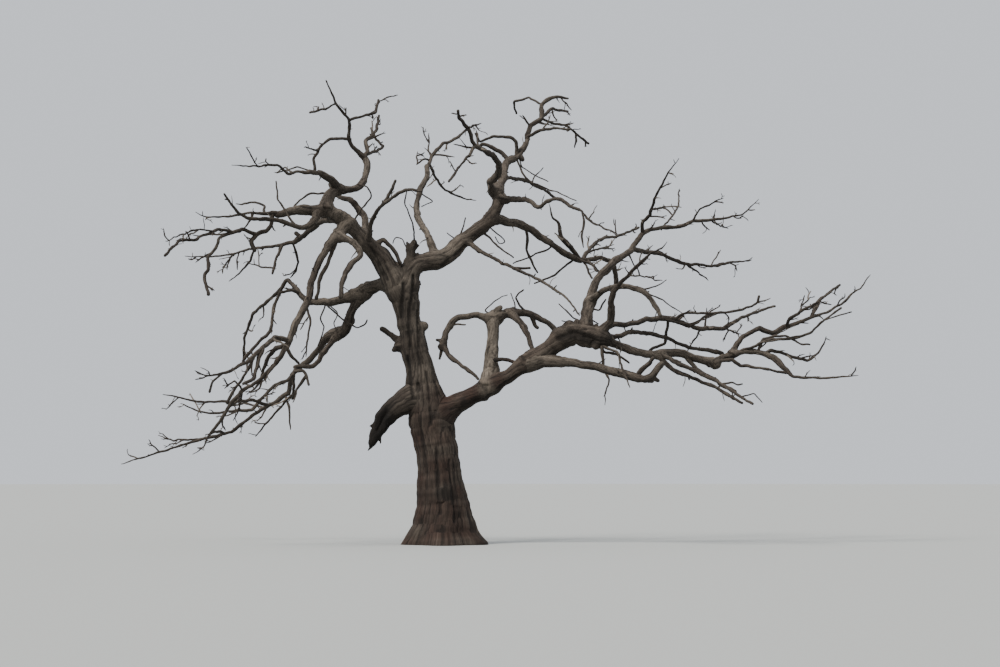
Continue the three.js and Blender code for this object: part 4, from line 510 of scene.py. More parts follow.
# The relief of the wood: two sizes of ridge along the grain, broad lumps, and how wide their cracks are
RIDGES = {"share": 0.1, "least": 0.0015, "most": 0.03, "bare": 0.65, "twist": 0.1, "bend": 0.25}
COARSE = {"power": 0.7, "middle": 0.45, "crack_shade": 0.12, "slant": (0.43, -0.31)}
FINE = {"power": 0.8, "middle": 0.4, "crack_shade": 0.16, "height": 0.4, "dark": 0.45, "scale": (2.7, 2.7, 2.0)}
LUMPS = {"share": 0.1, "most": 0.035, "stretch": 3.2, "least": 0.05}
# Salts that keep the wood's noises apart
SALTS = {"weather": 40, "patches": 41, "streaks": 42, "bend": 50, "coarse": 51, "fine": 52, "lumps": 53,
         "scars": 60}

# How far a limb's colour shows through a seam, and how dark the painted shade in cracks, knot cores and scars
# is
SEAM = {"width": 0.03, "deepest": -0.2, "furthest": 2, "least": 0.02}
CRACK_SHADE = {"dark": 0.75, "tint": 0.5, "scar": 0.03}
# How strongly the wood is weathered, streaked, reddened low down and darkened where it is broken; the painted
# shade on the trunk, deepest low down, on the low right bough near the trunk, under the broken end and on
# slim limbs; and the painted light on faces turned up, with painted shade on faces turned down
WEATHER = {"swing": (0.2, 0.5), "size": 0.55}
STREAKS = {"scale": (1.3, 1.3, 0.45), "bare": 0.55, "dark": (-0.25, -1.1)}
RED_PATCHES = {"swing": (0.55, 0.6), "size": 0.3, "share": 0.85}
RED_TRUNK = {"top": 4.0, "fade": 1.6, "shade": (0.15, 0.2)}
RED_BOUGH = {"start": 1.5, "fade": 2.2, "shade": 0.2}
SNAG_BROKEN = 0.6
# The broken low limb's end: where it turns the broken colour, and the painted shade on its underside towards
# the tip
BROKEN_END = {"broken": 0.9, "from": 0.4, "dark": 0.95, "dark_from": 0.45, "over": 0.2,
              "under": (0.9, -1.2)}
BROKEN_BOUGH_END = {"dark": 0.7, "length": 0.1, "over": 0.12}
SLIM = {"radius": 0.09, "shade": 0.35}
# Painted light on faces turned up and painted shade on faces turned down
PAINTED_TOP_LIGHT = {"upward": (0.5, 0.62), "power": 0.9, "light": (0.26, 0.64)}
# Scars are ragged along their edges, and fade where the wood turns away from the eye
RAGGED = {"reach": 0.02, "grain": (0.06, 0.06, 0.2)}
FACING = (0.2, -1.6)

# Colours of the weathered wood
WOOD = {"bark": "#564c43", "bare": "#857a6d", "broken": "#352d27", "red": "#4f3a31", "dark": "#1b1714"}
TWIG_COLOURS = {"twig_dark": "#332d28", "twig_brown": "#443c35", "twig_grey": "#575048",
                "twig_pale": "#766c61"}
TWIG_SHARES = [0.3, 0.4, 0.2, 0.1]
# The fine noise of the wood's material: fibres along the grain, and patches in space
FIBRES = {"Scale": 4.5, "Detail": 5, "Roughness": 0.65}
PATCHES = {"Scale": 5, "Detail": 4}

# The floor, the sky, the sun and the camera
FLOOR = {"corners": 96, "radius": 260, "drop": 0.002, "colour": "#b9bab6", "roughness": 0.95}
SKY = {"colour": (0.84, 0.88, 0.94, 1), "strength": 0.95}
SUN = {"energy": 3.2, "spread": 14, "colour": (1.0, 0.97, 0.92), "tilt": 42, "turn": -48}
CAMERA = {"lens": 71.28, "sensor": 36, "reach": 600, "tilt": 94.04}

WORD = 2**32 - 1
MIXERS = [np.uint64(value) for value in (73856093, 19349663, 83492791, 2654435761, 1274126177)]


def seeded(seed):
    """Numbers from 0 to 1 that repeat for the same seed."""
    state = seed

    def draw():
        nonlocal state
        state = (state + 0x6D2B79F5) & WORD
        mixed = ((state ^ (state >> 15)) * (1 | state)) & WORD
        mixed = ((mixed + (mixed ^ (mixed >> 7)) * (61 | mixed)) & WORD) ^ mixed
        return (mixed ^ (mixed >> 14)) / (WORD + 1)

    return draw


def between(span, share):
    return span[0] + (span[1] - span[0]) * share


def unit(vectors):
    return vectors / np.maximum(np.linalg.norm(vectors, axis=-1, keepdims=True), 1e-9)


def placed(place, away):
    """The place that looks to be at place, [across, up], but lies that far away behind the trunk."""
    scale = 1 + away / EYE["distance"]
    across = EYE["across"] + (place[0] - EYE["across"]) * scale
    return np.array([across, away, EYE["up"] + (place[1] - EYE["up"]) * scale])


def looks(points):
    """Where points look to be, as [across, up]."""
    scale = 1 + points[:, 1] / EYE["distance"]
    across = EYE["across"] + (points[:, 0] - EYE["across"]) / scale
    return np.stack([across, EYE["up"] + (points[:, 2] - EYE["up"]) / scale], 1)


def hashed(cells, salt):
    """A number from 0 to 1 that belongs to each cell."""
    x, y, z = np.moveaxis(cells.astype(np.uint64), -1, 0)
    mixed = (x * MIXERS[0]) ^ (y * MIXERS[1]) ^ (z * MIXERS[2]) ^ (np.uint64(salt + 1) * MIXERS[3])
    mixed = (mixed ^ (mixed >> np.uint64(15))) * MIXERS[4] & np.uint64(WORD)
    mixed = (mixed ^ (mixed >> np.uint64(13))) * MIXERS[3] & np.uint64(WORD)
    return (mixed ^ (mixed >> np.uint64(16))).astype(float) / WORD


def noise(points, salt):
    """Smooth noise from -1 to 1, with one swing to a unit of the points' scale."""
    cells = np.floor(points).astype(np.int64)
    inner = points - cells
    ease = inner * inner * (3 - 2 * inner)
    total = np.zeros(len(points))
    for corner in np.ndindex(2, 2, 2):
        share = np.prod(np.where(np.array(corner) == 1, ease, 1 - ease), axis=1)
        total += share * hashed(cells + np.array(corner), salt)
    return 2 * total - 1


def wandered(points):
    """Points moved by the wander of the wood."""
    moved = points.copy()
    for salt, part in enumerate(WANDER):
        for axis in range(3):
            moved[:, axis] += part["reach"] * noise(points / part["grain"], 10 * salt + axis)
    return moved


class Limb:
    """A limb or twig: a curve through points, smooth or with a corner at each, and its girths."""

    def __init__(self, name, points, girths, smooth, sunk=None):
        self.name = name
        self.points = np.array(points, float)
        self.girths = girths
        self.smooth = smooth
        self.sunk = sunk
        self.flared = False
        self.steps = np.linspace(0, 1, CURVE_PARTS + 1)
        runs = np.linalg.norm(np.diff(self.point(self.steps), axis=0), axis=1)
        self.run = np.concatenate([[0.0], np.cumsum(runs)])
        self.length = self.run[-1]

    def point(self, steps):
        """Points on the curve. Each stretch between two of its points has an equal share of the steps."""
        count = len(self.points)
        place = (count - 1) * np.asarray(steps, float)
        part = np.minimum(np.floor(place).astype(int), count - 2)
        weight = (place - part)[:, None]
        before = 2 * self.points[0] - self.points[1]
        after = 2 * self.points[-1] - self.points[-2]
        padded = np.vstack([before, self.points, after])
        x0, x1, x2, x3 = (padded[part + shift] for shift in range(4))
        start = np.zeros_like(x1)
        end = np.zeros_like(x1)
        if self.smooth:
            d0, d1, d2 = (np.sqrt(np.linalg.norm(b - a, axis=1))[:, None] for a, b in
                          ((x0, x1), (x1, x2), (x2, x3)))
            start = ((x1 - x0) / d0 - (x2 - x0) / (d0 + d1) + (x2 - x1) / d1) * d1
            end = ((x2 - x1) / d1 - (x3 - x1) / (d1 + d2) + (x3 - x2) / d2) * d1
        squared = 3 * (x2 - x1) - 2 * start - end
        cubed = 2 * (x1 - x2) + start + end
        return x1 + weight * (start + weight * (squared + weight * cubed))

    def at(self, shares):
        return self.point(np.interp(np.asarray(shares) * self.length, self.run, self.steps))

    def tangent_at(self, share):
        step = np.interp(share * self.length, self.run, self.steps)
        ends = self.point(np.clip([step - 1e-4, step + 1e-4], 0, 1))
        return unit(ends[1] - ends[0])

    def girth_at(self, shares):
        return np.interp(np.minimum(shares, 1), np.linspace(0, 1, len(self.girths)), self.girths)

    def nearest_share(self, place):
        """The share of the length that looks nearest to a place, one radius inside the tip, and its gap."""
        last = 1 - self.girth_at(1) / 2 / self.length
        shares = last * np.arange(ROOT_PLACES + 1) / ROOT_PLACES
        gaps = np.linalg.norm(looks(self.at(shares)) - np.array(place[:2]), axis=1)
        best = int(np.argmin(gaps))
        return shares[best], gaps[best]

    def balls(self):
        """Centres and radii of small balls along the limb."""
        shares = np.linspace(0, 1, math.ceil(self.length / BALL_STEP) + 1)
        return self.at(shares), self.girth_at(shares) / 2

    def lay(self, step, pointed=False):
        """Lays rings along the limb: their centres, frames, radii and how far along the grain each is."""
        count = max(3, math.ceil(self.length / step))
        shares = np.linspace(0, 1, count + 1)
        centres = self.at(shares)
        if not self.smooth:
            for _ in range(2):
                centres[1:-1] = (centres[:-2] + 2 * centres[1:-1] + centres[2:]) / 4
        self.axis = wandered(centres)
        self.along = unit(np.gradient(centres, axis=0))
        frame = np.array([0.0, 1.0, 0.0])
        across = []
        for direction in self.along:
            frame = unit(frame - frame @ direction * direction)
            across.append(frame)
        self.across = np.array(across)
        self.over = np.cross(self.across, self.along)
        self.places = shares * self.length
        bare = self.girth_at(shares) / 2 * (1 + centres[:, 1] / EYE["distance"])
        self.radii = bare + np.minimum(BARK["share"] * bare, BARK["most"])
        self.salt = sum(map(ord, self.name)) + round(1000 * abs(self.points[-1][0]))
        stretch = np.maximum(self.radii, SWELLING["least"])[:, None] * np.array([SWELLING["stretch"], 1, 1])
        line = np.stack([self.places, np.zeros(len(shares)), np.zeros(len(shares))], 1)
        calm = SWELLING["trunk"] if self.flared else 1.0
        self.radii = self.radii * (1 + calm * SWELLING["share"] * noise(line / stretch, self.salt))
        if pointed:
            self.radii = self.radii * np.sqrt(1 - POINTED * shares**6)
        if self.sunk is not None:
            past = np.maximum(self.places - self.sunk, 0)
            reach = COLLAR["length"] * self.girth_at(shares)
            self.radii = self.radii * (1 + COLLAR["swell"] * np.exp(-past / reach))
        self.grain = np.clip(GRAIN["share"] * self.radii, GRAIN["least"], GRAIN["most"])
        steps = np.diff(self.places) / (GRAIN["stretch"] * (self.grain[1:] + self.grain[:-1]) / 2)
        self.grained = np.concatenate([[0.0], np.cumsum(steps)])

    def flare(self, height, angle):
        """How much wider the trunk is near the ground, with its buttress roots."""
        if not self.flared:
            return 1.0
        low = np.exp(-np.maximum(height, 0) / ROOT_FLARE["height"])
        roots = np.cos(ROOT_FLARE["roots"] * (angle + ROOT_FLARE["turn"]))
        return 1 + ROOT_FLARE["spread"] * low + ROOT_FLARE["lobes"] * np.sqrt(low) * roots

    def field(self, points):
        """For each point: its ring, its place past that ring, its angle, and its gap from the surface."""
        ring = np.empty(len(points), int)
        squares = np.sum(self.axis**2, axis=1)
        for start in range(0, len(points), CHUNK):
            some = points[start:start + CHUNK]
            ring[start:start + CHUNK] = np.argmin(squares - 2 * some @ self.axis.T, axis=1)
        offset = points - self.axis[ring]
        half = self.length / (len(self.axis) - 1) / 2
        past = np.clip(np.sum(offset * self.along[ring], axis=1), -half, half)
        offset = offset - past[:, None] * self.along[ring]
        side = np.sum(offset * self.across[ring], axis=1)
        up = np.sum(offset * self.over[ring], axis=1)
        angle = np.arctan2(up, side)
        radius = self.radii[ring] * self.flare(points[:, 2], angle)
        gap = np.linalg.norm(offset, axis=1) - radius
        return {"ring": ring, "past": past, "angle": angle, "radius": radius, "gap": gap}


def limb_along(name, root, bends, girths, random, smooth, sunk=None):
    """A limb from a root along its bends. Its depth changes evenly, with a seeded sway."""
    seen = np.array([looks(root[None])[0], *[bend[:2] for bend in bends]])
    runs = np.linalg.norm(np.diff(seen, axis=0), axis=1)
    points = [root]
    covered = 0.0
    for index, bend in enumerate(bends):
        covered += runs[index]
        sway = (random() * 2 - 1) * SWAY * runs[index] if index < len(bends) - 1 else 0.0
        away = root[1] + (bends[-1][2] - root[1]) * covered / runs.sum() + sway
        points.append(placed(bend, away))
    return Limb(name, points, girths, smooth, sunk)


def grow_boughs():
    """The trunk and all boughs, by name."""
    trunk = Limb("trunk", [placed(place, 0) for place in TRUNK_ROUTE], TRUNK_GIRTHS, True)
    trunk.flared = True
    limbs = {"trunk": trunk}
    random = seeded(SEEDS["boughs"])
    for name, parent, girths, route in BOUGHS:
        share, _ = limbs[parent].nearest_share(route[0])
        root = limbs[parent].at([share])[0]
        sunk = limbs[parent].girth_at(share) / 2
        limbs[name] = limb_along(name, root, route[1:], girths, random, True, sunk)
    return limbs


def grow_leads(mass, limbs):
    """The leading twigs of a mass: one from its bough's tip, and the others from those before them."""
    name, on, seed, shapes = mass
    random = seeded(seed)
    bough = limbs[on]
    tip = bough.at([1 - bough.girth_at(1) / 2 / bough.length])[0]
    first_girths, first_route = shapes[0]
    leads = [limb_along(name, tip, first_route, first_girths, random, False)]
    for girths, route in shapes[1:]:
        found = [(lead, *lead.nearest_share(route[0])) for lead in leads]
        lead, share, _ = min(found, key=lambda entry: entry[2])
        leads.append(limb_along(name, lead.at([share])[0], route[1:], girths, random, False))
    return leads


def share_along(place, count, places, random):
    """A seeded place for one of count twigs, as a share of the parent's length."""
    return min((place + places["start"] + places["scatter"] * random()) / (count + places["spare"]),
               places["last"])


def side_twig(parent, share, random, rule):
    """A crooked side twig: it turns off its parent by a seeded angle and way round, and lifts a little."""
    along = parent.tangent_at(share)
    side = unit(np.array([along[1], -along[0], 0.0]))
    over = np.cross(side, along)
    around = random() * 2 * math.pi
    turn = between(rule["turn"], random())
    reach = between(rule["length"], random()) * (1 - share / 3)
    off = side * math.cos(around) + over * math.sin(around)
    heading = along * math.cos(turn) + off * math.sin(turn)
    heading[2] += rule["lift"]
    points = [parent.at([share])[0]]
    for _ in range(rule["bends"]):
        heading = unit(heading)
        points.append(points[-1] + heading * reach / rule["bends"])
        crook = np.array([random() - 0.5, random() - 0.5, random() - 0.5])
        heading = heading + crook * 2 * rule["crook"]
    girth = max(parent.girth_at(share) * rule["girth"], rule["tip"])
    return Limb(parent.name, points, [girth, rule["tip"]], False)


def clear(twig, centres, radii, gap):
    """Whether a twig keeps that gap from all balls."""
    own, girths = twig.balls()
    if len(centres) == 0:
        return True
    apart = np.linalg.norm(own[:, None] - centres[None], axis=2)
    return bool(np.all(apart >= girths[:, None] + radii[None] + gap))


def room_of(leads):
    """The corners of the room that a mass keeps to."""
    reached = np.vstack([lead.at(np.linspace(0, 1, ROOM_PLACES)) for lead in leads])
    depth = np.array([0, ROOM_DEPTH, 0])
    return reached.min(0) - depth, reached.max(0) + depth


def inside(twig, room):
    own, _ = twig.balls()
    return bool(np.all(own >= room[0]) and np.all(own <= room[1]))


def near_room(centres, room, margin):
    """Which centres lie in a room or within a margin of it."""
    return np.all((centres > room[0] - margin) & (centres < room[1] + margin), axis=1)


def grow_side_twigs(mass, leads, balls):
    """The side twigs of a mass, less those that leave its room or touch anything but their own mass."""
    name, _, seed, _ = mass
    random = seeded(seed * MASS_SEEDS["side"])
    room = room_of(leads)
    others = [ball for owner, ball in balls if owner != name]
    centres = np.vstack([ball[0] for ball in others])
    radii = np.concatenate([ball[1] for ball in others])
    near = near_room(centres, room, NEAR["side"])
    twigs = []
    for lead in leads:
        count = math.floor(lead.length / SIDE_TWIG["spacing"])
        for place in range(count):
            share = share_along(place, count, SIDE_PLACES, random)
            twig = side_twig(lead, share, random, SIDE_TWIG)
            if inside(twig, room) and clear(twig, centres[near], radii[near], PASSING_GAP):
                twigs.append(twig)
                balls.append((name, twig.balls()))
    return twigs


def grow_finer(parents, rule, random, room, centres, radii):
    """Twigs finer than the side twigs, along their parents."""
    twigs = []
    for parent in parents:
        count = max(1, round(parent.length / rule["spacing"]))
        for place in range(count):
            share = share_along(place, count, FINER_PLACES, random)
            twig = side_twig(parent, share, random, rule)
            if inside(twig, room) and clear(twig, centres, radii, 0.0):
                twigs.append(twig)
    return twigs


def tube(limb, sides):
    """Corners and faces of a closed tube along a laid limb, with a domed tip."""
    dome = np.radians(TIP_DOME)
    tip = limb.axis[-1] + limb.along[-1] * limb.radii[-1] * np.sin(dome)[:, None]
    centres = np.vstack([limb.axis, tip])
    radii = np.concatenate([limb.radii, limb.radii[-1] * np.cos(dome)])
    ring = np.minimum(np.arange(len(centres)), len(limb.axis) - 1)
    angle = np.tile(np.arange(sides) * 2 * math.pi / sides, len(centres))
    row = np.repeat(np.arange(len(centres)), sides)
    radius = radii[row] * limb.flare(centres[row, 2], angle)
    out = np.cos(angle)[:, None] * limb.across[ring[row]] + np.sin(angle)[:, None] * limb.over[ring[row]]
    corners = centres[row] + radius[:, None] * out
    pole = limb.axis[-1] + limb.along[-1] * limb.radii[-1]
    corners = np.vstack([corners, limb.axis[:1], pole[None]])
    first = len(centres) * sides
    here = np.arange(sides)
    following = (here + 1) % sides
    base = (np.arange(len(centres) - 1) * sides)[:, None]
    quads = np.stack([base + here, base + sides + here, base + sides + following, base + following], 2)
    last = first - sides
    root = np.stack([np.full(sides, first), here, following], 1)
    end = np.stack([np.full(sides, first + 1), last + following, last + here], 1)
    return corners, quads.reshape(-1, 4).tolist() + root.tolist() + end.tolist()


def joined(parts):
    """Corners and faces of several meshes as one, and how many faces each has."""
    corners = []
    faces = []
    counts = []
    start = 0
    for some, rows in parts:
        corners.append(some)
        faces.extend([[index + start for index in row] for row in rows])
        counts.append(len(rows))
        start += len(some)
    return np.vstack(corners), faces, counts


def linear(colour):
    """A colour, written as a hex code, as linear red, green and blue."""
    parts = np.array([int(colour[start:start + 2], 16) / 255 for start in (1, 3, 5)])
    return np.where(parts <= 0.04045, parts / 12.92, ((parts + 0.055) / 1.055) ** 2.4)


def blended(colour, other, share):
    """A colour moved towards another by a share that varies over the corners."""
    share = np.clip(share, 0, 1)[:, None]
    return colour * (1 - share) + linear(WOOD[other]) * share


def sloped(line, values):
    """A line's first number, and its second for each unit of the values."""
    return line[0] + line[1] * values


def shade(limb, field, corners, normals, coarse):
    """The colour of the wood at each corner, with its painted light and shade."""
    count = len(corners)
    colour = np.tile(linear(WOOD["bark"]), (count, 1))
    place = limb.places[field["ring"]] + field["past"]
    far = place / limb.length
    if limb.name in BARE_WOOD:
        colour = blended(colour, "bare", np.full(count, BARE_WOOD[limb.name]))
    if limb.name == "fork_snag" or "spur" in limb.name:
        colour = blended(colour, "broken", np.full(count, SNAG_BROKEN))
    weather = noise(corners / WEATHER["size"], SALTS["weather"])
    colour = blended(colour, "bare", sloped(WEATHER["swing"], weather))
    if limb.name == "broken_low_limb":
        broken = np.clip((far - BROKEN_END["from"]) / BROKEN_END["over"], 0, 1)
        colour = blended(colour, "broken", BROKEN_END["broken"] * broken)
    streaks = noise(coarse * np.array(STREAKS["scale"]), SALTS["streaks"])
    colour = blended(colour, "bare", STREAKS["bare"] * streaks)
    colour = blended(colour, "dark", sloped(STREAKS["dark"], streaks))
    patches = sloped(RED_PATCHES["swing"], noise(corners / RED_PATCHES["size"], SALTS["patches"]))
    shaded = np.zeros(count)
    if limb.name == "trunk":
        low = np.clip((RED_TRUNK["top"] - corners[:, 2]) / RED_TRUNK["fade"], 0, 1)
        colour = blended(colour, "red", RED_PATCHES["share"] * low * patches)
        shaded = sloped(RED_TRUNK["shade"], low)
    if limb.name == "low_right_bough":
        near = np.clip(RED_BOUGH["start"] - corners[:, 0] / RED_BOUGH["fade"], 0, 1)
        colour = blended(colour, "red", RED_PATCHES["share"] * near * patches)
        end = (place - limb.length + BROKEN_BOUGH_END["length"]) / BROKEN_BOUGH_END["over"]
        colour = blended(colour, "dark", BROKEN_BOUGH_END["dark"] * np.clip(end, 0, 1))
        shaded = RED_BOUGH["shade"] * near
    if limb.name == "broken_low_limb":
        # Painted shade on the underside of the broken end, on faces turned down
        under = np.clip(sloped(BROKEN_END["under"], normals[:, 2]), 0, 1)
        towards_broken_end = np.clip((far - BROKEN_END["dark_from"]) / BROKEN_END["over"], 0, 1)
        colour = blended(colour, "dark", BROKEN_END["dark"] * under * towards_broken_end)
    slim = np.clip(1 - field["radius"] / SLIM["radius"], 0, 1)
    shaded = shaded + SLIM["shade"] * slim * (limb.name != "arch_post")
    # Painted light on faces turned up and painted shade on faces turned down, as light falls from above
    upward = np.clip(sloped(PAINTED_TOP_LIGHT["upward"], normals[:, 2]), 0, 1) ** PAINTED_TOP_LIGHT["power"]
    painted_light = sloped(PAINTED_TOP_LIGHT["light"], upward)
    return colour * (painted_light * (1 - shaded))[:, None]


def relief(limb, field, corners):
    """The height of the wood's grain at each corner, its painted shade in cracks and knot cores, and its
    grain coordinates.
    """
    ring = field["ring"]
    radius = limb.radii[ring]
    grain = limb.grain[ring]
    along = limb.grained[ring] + field["past"] / (GRAIN["stretch"] * grain)
    circle = np.stack([np.cos(field["angle"]), np.sin(field["angle"])], 1)
    bend = noise(np.column_stack([along * 0.5 + limb.salt, circle]), SALTS["bend"])
    angle = field["angle"] + RIDGES["twist"] * along + RIDGES["bend"] * bend
    girdle = radius / grain
    x, y = np.cos(angle) * girdle, np.sin(angle) * girdle
    slant = COARSE["slant"]
    coarse = np.stack([x + limb.salt, y, along + slant[0] * x + slant[1] * y], 1)
    first = noise(coarse, SALTS["coarse"])
    second = noise(coarse * np.array(FINE["scale"]) + 0.5, SALTS["fine"])
    lumps = noise(corners / np.maximum(LUMPS["stretch"] * radius, LUMPS["least"])[:, None], SALTS["lumps"])
    smoothness = RIDGES["bare"] if limb.name in BARE_WOOD else 1.0
    swing = np.clip(RIDGES["share"] * radius, RIDGES["least"], RIDGES["most"]) * smoothness
    ridges = np.abs(first) ** COARSE["power"] - COARSE["middle"]
    fine = np.abs(second) ** FINE["power"] - FINE["middle"]
    height = swing * (ridges + FINE["height"] * fine)
    height += np.clip(LUMPS["share"] * radius, 0, LUMPS["most"]) * lumps
    # Painted shade in the cracks between the ridges
    crack_shade = np.exp(-((first / COARSE["crack_shade"]) ** 2))
    crack_shade += FINE["dark"] * np.exp(-((second / FINE["crack_shade"]) ** 2))
    place = limb.places[ring] + field["past"]
    random = seeded(limb.salt)
    for _ in range(math.floor(limb.length / KNOTS["spacing"])):
        middle = random() * limb.length
        turn = random() * 2 * math.pi
        scale = sloped(KNOTS["scale"], random())
        size = KNOTS["size"] * scale * radius
        away = np.abs((field["angle"] - turn + math.pi) % (2 * math.pi) - math.pi) * radius
        share = ((place - middle) ** 2 + away**2) / size**2
        bulge = np.exp(-share) - KNOTS["dip"] * np.exp(-KNOTS["tight"] * share)
        height += KNOTS["height"] * np.minimum(radius, KNOTS["most"]) * scale * bulge
        # Painted shade in the knot's hollow core
        crack_shade += KNOTS["dark"] * np.exp(-KNOTS["core"] * share)
    return height, np.clip(crack_shade, 0, 1), coarse


def scarred(corners, normals):
    """How deep the long scars and hollows are at each corner."""
    seen = looks(corners)
    depth = np.zeros(len(corners))
    for width, deep, route in SCARS:
        nearest = np.full(len(corners), np.inf)
        for start, end in zip(route, route[1:]):
            start, end = np.array(start), np.array(end)
            line = end - start
            share = np.clip((seen - start) @ line / (line @ line), 0, 1)
            nearest = np.minimum(nearest, np.linalg.norm(seen - start - share[:, None] * line, axis=1))
        nearest = nearest + RAGGED["reach"] * noise(corners / np.array(RAGGED["grain"]), SALTS["scars"])
        depth = np.maximum(depth, deep * np.exp(-np.maximum(nearest, 0) ** 2 / (width / 2) ** 2))
    return depth * np.clip(sloped(FACING, normals[:, 1]), 0, 1)


def dressed(corners, normals, own, others, scars=False):
    """Corners moved out where limbs flow together and by the grain's relief, with their colour and grain."""
    fields = {limb.name: limb.field(corners) for limb in own + others}
    by_name = {limb.name: limb for limb in own + others}
    gaps = np.stack([fields[name]["gap"] for name in by_name], 1)
    radii = np.stack([fields[name]["radius"] for name in by_name], 1)
    push = np.zeros(len(corners))
    if len(by_name) > 1:
        order = np.argsort(gaps, axis=1)[:, :2]
        rows = np.arange(len(corners))
        low, high = gaps[rows, order[:, 0]], gaps[rows, order[:, 1]]
        smaller = np.minimum(radii[rows, order[:, 0]], radii[rows, order[:, 1]])
        blend = np.clip(FLOW["share"] * smaller, FLOW["least"], FLOW["most"])
        push = blend * np.log1p(np.exp(-(high - low) / blend))
        push = np.minimum(push, FLOW["push"]) * np.clip(1 + low / blend, 0, 1)
    reach = [np.clip(fields[limb.name]["gap"], SEAM["deepest"], SEAM["furthest"]) for limb in own]
    weights = np.stack([np.exp(-gap / SEAM["width"]) for gap in reach], 1)
    weights = weights / weights.sum(1, keepdims=True)
    height = np.zeros(len(corners))
    crack_shade = np.zeros(len(corners))
    grain = np.zeros((len(corners), 3))
    colour = np.zeros((len(corners), 3))
    strongest = np.argmax(weights, axis=1)
    for index, limb in enumerate(own):
        some = weights[:, index] > SEAM["least"]
        if not some.any():
            continue
        part = {key: values[some] for key, values in fields[limb.name].items()}
        share = weights[some, index]
        high, deep, coarse = relief(limb, part, corners[some])
        height[some] += share * high
        crack_shade[some] += share * deep
        colour[some] += share[:, None] * shade(limb, part, corners[some], normals[some], coarse)
        owned = strongest[some] == index
        grain[np.flatnonzero(some)[owned]] = coarse[owned]
    if scars:
        depth = scarred(corners, normals)
        height -= depth
        # Painted shade in the carved scars and hollows
        crack_shade = np.clip(crack_shade + depth / CRACK_SHADE["scar"], 0, 1)
    moved = corners + normals * (push + height)[:, None]
    # Painted shade darkens the cracks, knot cores and scars
    dark = linear(WOOD["dark"]) * CRACK_SHADE["tint"] * crack_shade[:, None]
    colour = colour * (1 - CRACK_SHADE["dark"] * crack_shade[:, None]) + dark
    return moved, colour, grain


def mesh_object(name, corners, faces):
    mesh = bpy.data.meshes.new(name)
    mesh.from_pydata(corners.tolist(), [], faces)
    mesh.shade_smooth()
    mesh.update()
    piece = bpy.data.objects.new(name, mesh)
    bpy.context.scene.collection.objects.link(piece)
    return piece


def read_corners(mesh):
    corners = np.empty(len(mesh.vertices) * 3)
    mesh.vertices.foreach_get("co", corners)
    return corners.reshape(-1, 3)


def read_normals(mesh):
    normals = np.empty(len(mesh.vertices) * 3)
    mesh.vertices.foreach_get("normal", normals)
    return normals.reshape(-1, 3)


def give(mesh, moved, colour, grain):
    """Gives a mesh its moved corners, and the colour and grain that its material reads."""
    mesh.vertices.foreach_set("co", moved.ravel())
    tint = mesh.attributes.new("tint", "FLOAT_COLOR", "POINT")
    tint.data.foreach_set("color", np.column_stack([colour, np.ones(len(colour))]).ravel())
    lay = mesh.attributes.new("grain", "FLOAT_VECTOR", "POINT")
    lay.data.foreach_set("vector", grain.ravel())
    mesh.update()


def dress(piece, own, others, scars=False):
    """Gives a piece its flow, relief, colour and grain."""
    mesh = piece.data
    give(mesh, *dressed(read_corners(mesh), read_normals(mesh), own, others, scars))


def sides_of(limb, sides):
    """How many sides a limb's rings have, for sides of about one width."""
    return int(np.clip(round(math.pi * limb.girths[0] / sides["width"]), sides["least"], sides["most"]))


def remeshed(piece, size):
    """Makes a piece of several closed tubes into one skin."""
    change = piece.modifiers.new("Skin", "REMESH")
    change.mode = "VOXEL"
    change.voxel_size = size
    change.use_smooth_shade = True
    ready = piece.evaluated_get(bpy.context.evaluated_depsgraph_get())
    mesh = bpy.data.meshes.new_from_object(ready)
    piece.modifiers.clear()
    piece.data = mesh


def cut_at_ground(piece):
    """Cuts a piece flat at ground level and closes the cut."""
    work = bmesh.new()
    work.from_mesh(piece.data)
    every = work.verts[:] + work.edges[:] + work.faces[:]
    cut = bmesh.ops.bisect_plane(work, geom=every, plane_co=(0, 0, 0), plane_no=(0, 0, 1), clear_inner=True)
    edges = [entry for entry in cut["geom_cut"] if isinstance(entry, bmesh.types.BMEdge)]
    bmesh.ops.triangle_fill(work, edges=edges, use_beauty=True, normal=(0, 0, -1))
    work.to_mesh(piece.data)
    work.free()
    piece.data.shade_smooth()


def attribute_node(tree, name):
    """A node that reads one of the mesh's attributes."""
    node = tree.nodes.new("ShaderNodeAttribute")
    node.attribute_name = name
    return node


def noise_node(tree, place, values):
    """A noise node in the coordinates that place gives."""
    node = tree.nodes.new("ShaderNodeTexNoise")
    for name, value in values.items():
        node.inputs[name].default_value = value
    tree.links.new(place, node.inputs["Vector"])
    return node


def ranged(tree, value, source, target):
    """A value mapped from one range onto another."""
    node = tree.nodes.new("ShaderNodeMapRange")
    node.inputs["From Min"].default_value, node.inputs["From Max"].default_value = source
    node.inputs["To Min"].default_value, node.inputs["To Max"].default_value = target
    tree.links.new(value, node.inputs["Value"])
    return node.outputs["Result"]


